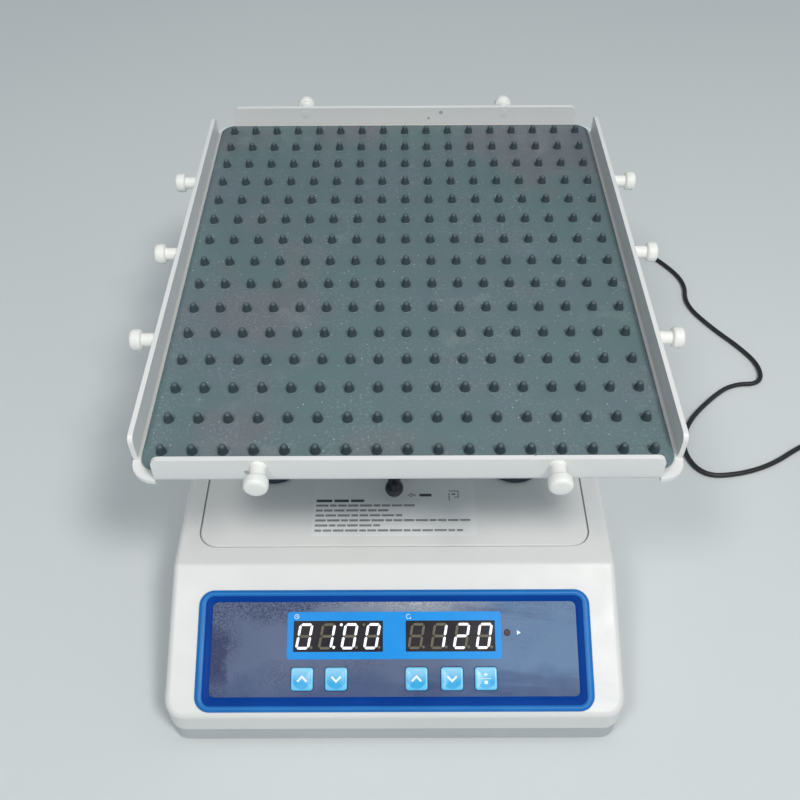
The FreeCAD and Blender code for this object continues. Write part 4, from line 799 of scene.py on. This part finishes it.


# Painted light and shade: rim and ledge are one blue plastic, the rim given a lit brighter blue and the
# ledge a shaded darker blue.
painted_light_rim_blue = surface(
    "painted_light_rim_blue", (0.003, 0.150, 0.49), (0.006, 0.175, 0.54), (0.38, 0.48), 30, 700, 0.000005,
    Specular_IOR_Level=0.35)
painted_shade_ledge_blue = surface(
    "painted_shade_ledge_blue", (0.001, 0.042, 0.27), (0.002, 0.052, 0.31), (0.42, 0.52), 30, 700, 0.000005,
    Specular_IOR_Level=0.05)
rim_top = bezel_box[1].z
slope_z = rim_top - 0.0022
film_top = film_box[1].z
rim_levels = [
    (0.0, 0.0, 0.0, slope_z), (0.0, 0.0, 0.0, rim_top - 0.0013), (0.0003, 0.0003, 0.0003, rim_top - 0.0008),
    (0.0014, 0.0011, 0.0011, rim_top - 0.0002), (0.0024, 0.0019, 0.0019, rim_top),
    (0.0034, 0.0027, 0.0027, rim_top - 0.0002), (0.0041, 0.0033, 0.0033, rim_top - 0.0006),
    (0.0042, 0.0034, 0.0034, slope_z),
]
ledge_levels = [
    (0.0040, 0.0032, 0.0032, slope_z), (0.0040, 0.0032, 0.0032, rim_top - 0.0012),
    (0.0046, 0.0038, 0.0038, rim_top - 0.0012), (0.0074, 0.0062, 0.0075, film_top + 0.0004),
    (0.0077, 0.0066, 0.0079, film_top + 0.0002), (0.0077, 0.0066, 0.0079, film_top + 0.00002),
    (0.0070, 0.0060, 0.0060, film_top + 0.00002), (0.0070, 0.0060, 0.0060, film_top - 0.004),
    (0.0045, 0.0045, 0.0045, film_top - 0.004), (0.0045, 0.0045, 0.0045, slope_z),
]
bezel_corner = 0.0085
rim = mesh_piece("bezel_rim", *ring_body(rim_levels, bezel_box, bezel_corner), painted_light_rim_blue, "base",
                 "bezel_plastic", panel)
mesh_piece("bezel_ledge", *ring_body(ledge_levels, bezel_box, bezel_corner), painted_shade_ledge_blue, "base",
           "bezel_plastic", panel)
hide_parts("bezel_frame")
print("bezel", [round(v, 4) for v in bezel_box[1] - bezel_box[0]])

# %% [markdown]
# The film is a frosted grey-blue foil, worn by years of wiping: coarse grain shows at its upper left and
# it is smoother to the right. It is also lighter to the right and darkens along the lower edge, and a pale
# painted reflection lies near the top. Those zones are masks made from the place on the panel. The
# imported sheets keep their shape here and only get their finish.


# %% Film and print
def panel_axes(tree):
    """Place in the panel's own frame, as separate numbers."""
    laid = add(tree, "ShaderNodeVectorRotate", {"Vector": object_place(tree), "Angle": -tilt},
               rotation_type="X_AXIS").outputs[0]
    return add(tree, "ShaderNodeSeparateXYZ", {0: laid}).outputs


def panel_share(tree, axis, low, high):
    """Share of the way across the panel along its own x or y."""
    return spread(tree, panel_axes(tree)[axis], low, high)


def film_colour(tree, colour):
    """Lighter right side, dark lower edge, a pale painted reflection at the top, worn grain and smears."""
    low, high = film_box
    width = high.x - low.x

    def along(start, end):
        return panel_share(tree, "X", low.x + start * width, low.x + end * width)

    def shifted(value, shift):
        return calc(tree, "ADD", value, shift)

    place = object_place(tree)
    wander = spread(tree, noise(tree, place, 40.0, 3.0), 0.3, 0.7, -0.12, 0.12)
    rise = shifted(panel_share(tree, "Y", low.y, high.y), wander)
    low_edge = spread(tree, rise, 0.02, 0.30, 1.0, 0.0)
    # Painted reflection: a pale band near the top middle of the film.
    painted_reflection_haze = times(tree, spread(tree, rise, 0.70, 1.02), times(tree, along(0.25, 0.48), along(0.80, 0.60)))
    run = shifted(along(0.0, 1.0), times(tree, wander, 0.5))
    edge = calc(tree, "MAXIMUM", spread(tree, run, 0.10, 0.02), spread(tree, rise, 0.80, 0.95))
    cloud = spread(tree, noise(tree, place, 26.0, 3.0), 0.48, 0.62)
    worn = calc(tree, "MAXIMUM", edge, times(tree, cloud, 0.5))
    speckle = spread(tree, noise(tree, place, 1000.0, 2.0, 0.7), 0.44, 0.56)
    grain = times(tree, times(tree, worn, speckle), spread(tree, along(0.75, 0.30), 0.0, 1.0, 0.25, 0.75))
    ragged = spread(tree, noise(tree, place, 180.0, 3.0), 0.3, 0.7, -0.012, 0.012)
    patch_across = spread(tree, shifted(along(0.0, 1.0), ragged), 0.048, 0.034)
    patch_up = times(tree, spread(tree, rise, 0.15, 0.30), spread(tree, rise, 0.70, 0.55))
    smear = use(tree, long_scuffs, {"Scale": 55.0, "Stretch": 0.12, "Limit": 0.56, "Angle": 0.08})["Mask"]
    return layered(tree, colour, (along(0.62, 0.80), 1.0, (0.125, 0.215, 0.37)),
                   (low_edge, 0.65, (0.030, 0.065, 0.19)), (painted_reflection_haze, 0.9, (0.50, 0.53, 0.56)),
                   (grain, 1.0, (0.020, 0.026, 0.080)),
                   (times(tree, patch_across, patch_up), 0.7, (0.012, 0.022, 0.10)),
                   (smear, 0.4, (0.025, 0.045, 0.13)))


film = surface(
    "frosted_film", (0.100, 0.135, 0.240), (0.122, 0.158, 0.265), (0.38, 0.48), 30, 1500, 0.00001,
    Specular_IOR_Level=0.18)
recolour(film, film_colour)
print_blue = surface(
    "print_blue", (0.001, 0.28, 0.80), (0.003, 0.31, 0.84), (0.28, 0.36), 24, 1500, 0.000004, contrast=0.15,
    Specular_IOR_Level=0.2)
window_black = surface(
    "window_black", (0.016, 0.014, 0.020), (0.024, 0.021, 0.026), (0.24, 0.32), 60, 1500, 0.000005,
    Specular_IOR_Level=0.15)
lit = surface(
    "segment_lit", (0.9, 0.92, 1.0), (0.85, 0.88, 1.0), (0.4, 0.5), 90, 1500, 0.00001,
    Emission_Color=(0.88, 0.92, 1.0, 1), Emission_Strength=0.45)
dark_segment = surface(
    "segment_dark", (0.150, 0.130, 0.080), (0.115, 0.100, 0.075), (0.35, 0.5), 160, 1500, 0.00001,
    Specular_IOR_Level=0.3)
lamp_dark = surface(
    "lamp_lens", (0.035, 0.020, 0.030), (0.05, 0.028, 0.04), (0.35, 0.45), 90, 900, 0.000006,
    Specular_IOR_Level=0.3)
paper = surface("label_film", (0.80, 0.81, 0.81), (0.77, 0.785, 0.79), (0.4, 0.5), 30, 1600, 0.000008)
ink_dark = surface(
    "ink_dark", (0.05, 0.055, 0.065), (0.08, 0.085, 0.095), (0.45, 0.55), 400, 2500, 0.000004)
ink_grey = surface("ink_grey", (0.20, 0.21, 0.22), (0.30, 0.31, 0.32), (0.45, 0.55), 500, 2500, 0.000004)
ink_white = surface("ink_white", (0.86, 0.93, 0.98), (0.80, 0.90, 0.97), (0.4, 0.5), 400, 2500, 0.000004)
print("film", film.name)

# %% [markdown]
# The five keys are cast in a clear cyan plastic over a lighter print: pale at the border and at the top,
# deeper in the lower middle, with a soft round hollow for the finger. Each is a stack of outlines with
# rounded rims, and rides on its own body, so that it can be pressed.

# %% Keys
cyan = surface(
    "key_cyan", (0.002, 0.38, 0.76), (0.004, 0.43, 0.82), (0.24, 0.32), 90, 1200, 0.000005,
    Coat_Weight=0.15, Coat_Roughness=0.15)
key_names = [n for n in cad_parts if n.startswith("key_")]
key_box = panel_box("key_time_up")
key_half = (key_box[1].x - key_box[0].x) / 2
key_top = key_box[1].z
key_y = middle_of(panel_box(key_names[0])).y
key_middles = {n: middle_of(panel_box(n)).x for n in key_names}


def key_colour(tree, colour):
    """Lighter towards the key's top and rim; x is folded about the nearest key's middle."""
    axes = panel_axes(tree)
    off_x = None
    for middle in key_middles.values():
        away = calc(tree, "ABSOLUTE", calc(tree, "SUBTRACT", axes["X"], middle))
        off_x = away if off_x is None else calc(tree, "MINIMUM", off_x, away)
    off_y = calc(tree, "SUBTRACT", axes["Y"], key_y)
    radius = calc(tree, "SQRT", calc(tree, "ADD", times(tree, off_x, off_x), times(tree, off_y, off_y)))
    return layered(tree, colour, (spread(tree, off_y, -0.002, 0.0045), 0.65, (0.45, 0.80, 0.98)),
                   (spread(tree, radius, 0.0050, 0.0056), 0.6, (0.20, 0.66, 0.97)))


recolour(cyan, key_colour)
hollow = 0.00025
cap_levels = [(0.0, key_top - 0.0024), (0.0, key_top - 0.0007), (0.00015, key_top - 0.0003),
              (0.0005, key_top - 0.00005), (0.0010, key_top), (0.0018, key_top - 0.3 * hollow),
              (0.0035, key_top - 0.8 * hollow), (0.0050, key_top - hollow)]
for key_name in key_names:
    form = stacked(key_half, key_half, 0.0017, cap_levels, (key_middles[key_name], key_y), steps=6)
    cap = mesh_piece(key_name.replace("key_", "cap_"), *form, cyan, key_name, "key_plastic", panel)
    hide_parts(key_name)
print("keys", key_names)

# %% [markdown]
# The print on the keys and the panel is flat ink, so each sign is a thin raised strip a twentieth of a
# millimetre thick. The words of the real panel aren't copied: small signs stand in their place, a clock, a
# turning arrow, a start sign by the lamp, and a start and a stop sign on the fifth key.


# %% Printed signs
def stroke(points, width, low, high, closed=False):
    """Strip of ink along a line of points with mitred corners."""
    count = len(points)
    vertices = []
    for i in range(count):
        before = Vector(points[i - 1]) if i > 0 or closed else None
        here = Vector(points[i])
        after = Vector(points[(i + 1) % count]) if i < count - 1 or closed else None
        ways = [(here - before).normalized()] if before is not None else []
        if after is not None:
            ways.append((after - here).normalized())
        way = sum(ways, Vector((0, 0))).normalized()
        side = Vector((-way.y, way.x))
        lean = max(side.dot(Vector((-ways[0].y, ways[0].x))), 0.35)
        reach_out = side * (width / 2 / lean)
        for corner in (here + reach_out, here - reach_out):
            vertices += [(corner.x, corner.y, low), (corner.x, corner.y, high)]
    faces = []
    for i in range(count if closed else count - 1):
        a = 4 * i
        b = 4 * ((i + 1) % count)
        faces += [(a + 1, b + 1, b + 3, a + 3), (a, a + 2, b + 2, b), (a, b, b + 1, a + 1),
                  (a + 2, a + 3, b + 3, b + 2)]
    if not closed:
        last = 4 * (count - 1)
        faces += [(0, 1, 3, 2), (last, last + 2, last + 3, last + 1)]
    return vertices, faces


def solid_sign(points, low, high):
    """Flat filled sign from its outline."""
    count = len(points)
    vertices = [(x, y, low) for x, y in points] + [(x, y, high) for x, y in points]
    faces = [tuple(range(count)), tuple(range(count, 2 * count))]
    faces += [(i, (i + 1) % count, count + (i + 1) % count, count + i) for i in range(count)]
    return vertices, faces


def ink_piece(name, forms, material, body, slot, placed=None):
    """Printed forms as one thin piece."""
    mesh_piece(name, *together(*forms), material, body, slot, placed, smooth=False)


def moved(points, spot):
    """Points of a sign, moved to its spot."""
    return [(spot[0] + x, spot[1] + y) for x, y in points]


key_ink = (key_top - hollow - 0.0001, key_top - hollow + 0.00006)
chevron_width = 0.0011
chevron = 0.0026
for key_name, way in (("key_time_up", 1), ("key_time_down", -1), ("key_speed_up", 1),
                      ("key_speed_down", -1)):
    start_y = -way * 0.5 * chevron
    corners = moved([(-chevron, start_y), (0, start_y + way * chevron), (chevron, start_y)],
                    (key_middles[key_name], key_y))
    ink_piece(key_name.replace("key_", "chevron_"), [stroke(corners, chevron_width, *key_ink)], ink_white,
              key_name, "key_plastic", panel)
run_key = (key_middles["key_run_stop"], key_y)
start_sign = moved([(-0.0009, 0.0011), (0.0014, 0.0023), (-0.0009, 0.0035)], run_key)
stop_sign = moved([(-0.0010, -0.0031), (0.0010, -0.0031), (0.0010, -0.0011), (-0.0010, -0.0011)], run_key)
divider = moved([(-0.0036, 0), (0.0036, 0)], run_key)
run_forms = [solid_sign(start_sign, *key_ink), solid_sign(stop_sign, *key_ink),
             stroke(divider, 0.0003, *key_ink)]
ink_piece("start_stop_sign", run_forms, ink_white, "key_run_stop", "key_plastic", panel)

patch_ink = (patch_box[1].z - 0.00005, patch_box[1].z + 0.00005)
sign_radius = 0.0012
sign_line = 0.0003
sign_inset = 0.0016
window_width = 0.0502
window_left = patch_box[0].x + 0.0035
sign_y = patch_box[1].y - 0.0026
clock_spot = (window_left + sign_inset, sign_y)
clock_hands = moved([(0, 0.0008), (0, 0), (0.0006, -0.0002)], clock_spot)
speed_spot = (2 * middle_of(patch_box).x - window_left - window_width + sign_inset, sign_y)
arrow_head = moved([(0.0004, -0.0013), (0.0016, -0.0012), (0.0012, -0.0002)], speed_spot)
ink_piece("panel_signs", [
    stroke(arc_profile(clock_spot, sign_radius, 0, 345, 16), sign_line, *patch_ink, closed=True),
    stroke(clock_hands, 0.00028, *patch_ink),
    stroke(arc_profile(speed_spot, sign_radius, 40, 320, 16), sign_line, *patch_ink),
    solid_sign(arrow_head, *patch_ink)], ink_white, "base", "patch_ink", panel)
lamp_middle = middle_of(panel_box("run_lamp"))
run_sign = moved([(0, -0.0013), (0.0022, 0), (0, 0.0013)], (lamp_middle.x + 0.0055, lamp_middle.y))
ink_piece("run_sign", [solid_sign(run_sign, film_top - 0.00005, film_top + 0.00005)], ink_white, "base",
          "film_plastic", panel)
print("signs on the panel done")

# %% [markdown]
# The label on the cover held printed steps. Its place keeps the look of a printed sheet, with plain grey
# bars of uneven length where lines of words stood, a darker bar for the heading, and a small arrow that
# points at the knob.

# %% Label print
label_low, label_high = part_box("instruction_label")
label_ink = (label_high.z - 0.00003, label_high.z + 0.00003)
line_start = label_low.x + 0.0018
line_room = label_high.x - label_low.x - 0.0036
line_pitch = 0.00362
first_line = label_low.y + 0.0034
line_shares = (0.93, 0.41, 0.98, 0.58, 0.49, 0.63)
word_gap = 0.0009
bars = []
for k, line_share in enumerate(line_shares):
    line_y = first_line + k * line_pitch
    at = line_start
    end = line_start + line_share * line_room
    word = 0
    while at < end - 0.002:
        stop = min(at + 0.0040 + 0.0034 * ((7 * k + 5 * word) % 4) / 3, end)
        bars.append(stroke([(at, line_y), (stop, line_y)], 0.0015, *label_ink))
        at = stop + word_gap
        word += 1
ink_piece("label_lines", bars, ink_grey, "base", "label_sheet")
heading_spot = (line_start, first_line + len(line_shares) * line_pitch - 0.0001)
heading_words = ((0, 0.0095), (0.0108, 0.0196), (0.0209, 0.0289))
heading = [stroke(moved([(start, 0), (stop, 0)], heading_spot), 0.0019, *label_ink)
           for start, stop in heading_words]
arrow_spot = (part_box("lock_knob")[1].x + 0.0029, label_low.y + 0.0291)
arrow = moved([(0, 0), (0.0019, 0.0013), (0.0019, 0.0005), (0.0042, 0.0005), (0.0042, -0.0005),
               (0.0019, -0.0005), (0.0019, -0.0013)], arrow_spot)
run_bar = moved([(0.0069, 0), (0.0142, 0)], arrow_spot)
ink_piece("label_heading", [*heading, stroke(arrow, 0.00035, *label_ink, closed=True),
                            stroke(run_bar, 0.0020, *label_ink)], ink_dark, "base", "label_sheet")
picture_spot = (arrow_spot[0] + 0.0275, arrow_spot[1] + 0.0002)
picture_strokes = (
    ([(-0.0026, 0.0028), (0.0030, 0.0028), (0.0030, -0.0018), (0.0006, -0.0018)], 0.0007),
    ([(-0.0026, 0.0012), (-0.0026, -0.0044)], 0.0007),
    ([(-0.0010, 0.0004), (0.0012, 0.0004)], 0.0014),
)
picture = [stroke(moved(line, picture_spot), width, *label_ink) for line, width in picture_strokes]
ink_piece("label_picture", picture, ink_grey, "base", "label_sheet")
print("label bars", len(bars))

# %% [markdown]
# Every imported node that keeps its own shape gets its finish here, by name. Small motor parts and boards
# inside the base are dressed too, because the model is looked at with its covers off.

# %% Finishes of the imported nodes
finishes = {
    enamel: ["upper_housing", "top_cover"],
    pan_paint: ["bottom_pan"],
    foot_rubber: ["rubber_feet"],
    isolator_grey: ["isolators"],
    zinc: ["base_screws", "drive_plate", "motor_bracket", "lock_ring", "clamp_washer", "centre_screw",
           "carrier", "carrier_screws", "guide_arm", "guide_post"],
    steel: ["isolator_bolts", "shaft_bearings", "drive_shaft", "tilt_pin", "bearing_inner", "bearing_outer",
            "guide_pin", "lock_rod"],
    alloy: ["bearing_housing", "motor_pulley", "drive_pulley", "drive_head", "tilt_block", "lock_guide",
            "backing_plate"],
    paper: ["instruction_label"],
    film: ["panel_film"],
    print_blue: ["display_patch"],
    window_black: ["displays"],
    lit: ["lit_segments"],
    dark_segment: ["dark_segments"],
    lamp_dark: ["run_lamp"],
    knob_black: ["lock_knob"],
    board_green: ["control_board", "supply_board"],
    motor_black: ["motor"],
    belt_black: ["drive_belt"],
    black_plastic: ["tact_switches", "dc_socket", "switch_housing", "power_rocker", "dc_plug",
                    "plug_adapter"],
}
for material, names in finishes.items():
    for name in names:
        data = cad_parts[name].data
        data.materials.clear()
        data.materials.append(material)
lead.data.materials.append(cord_pvc)
bench_finish = surface(
    "bench_top", bench_colour[:3], (0.66, 0.70, 0.71), (0.6, 0.7), 1.5, 300, 0.00002, contrast=0.25,
    Specular_IOR_Level=0.2)
bench_mesh.materials.append(bench_finish)
print("dressed nodes", sum(len(n) for n in finishes.values()))
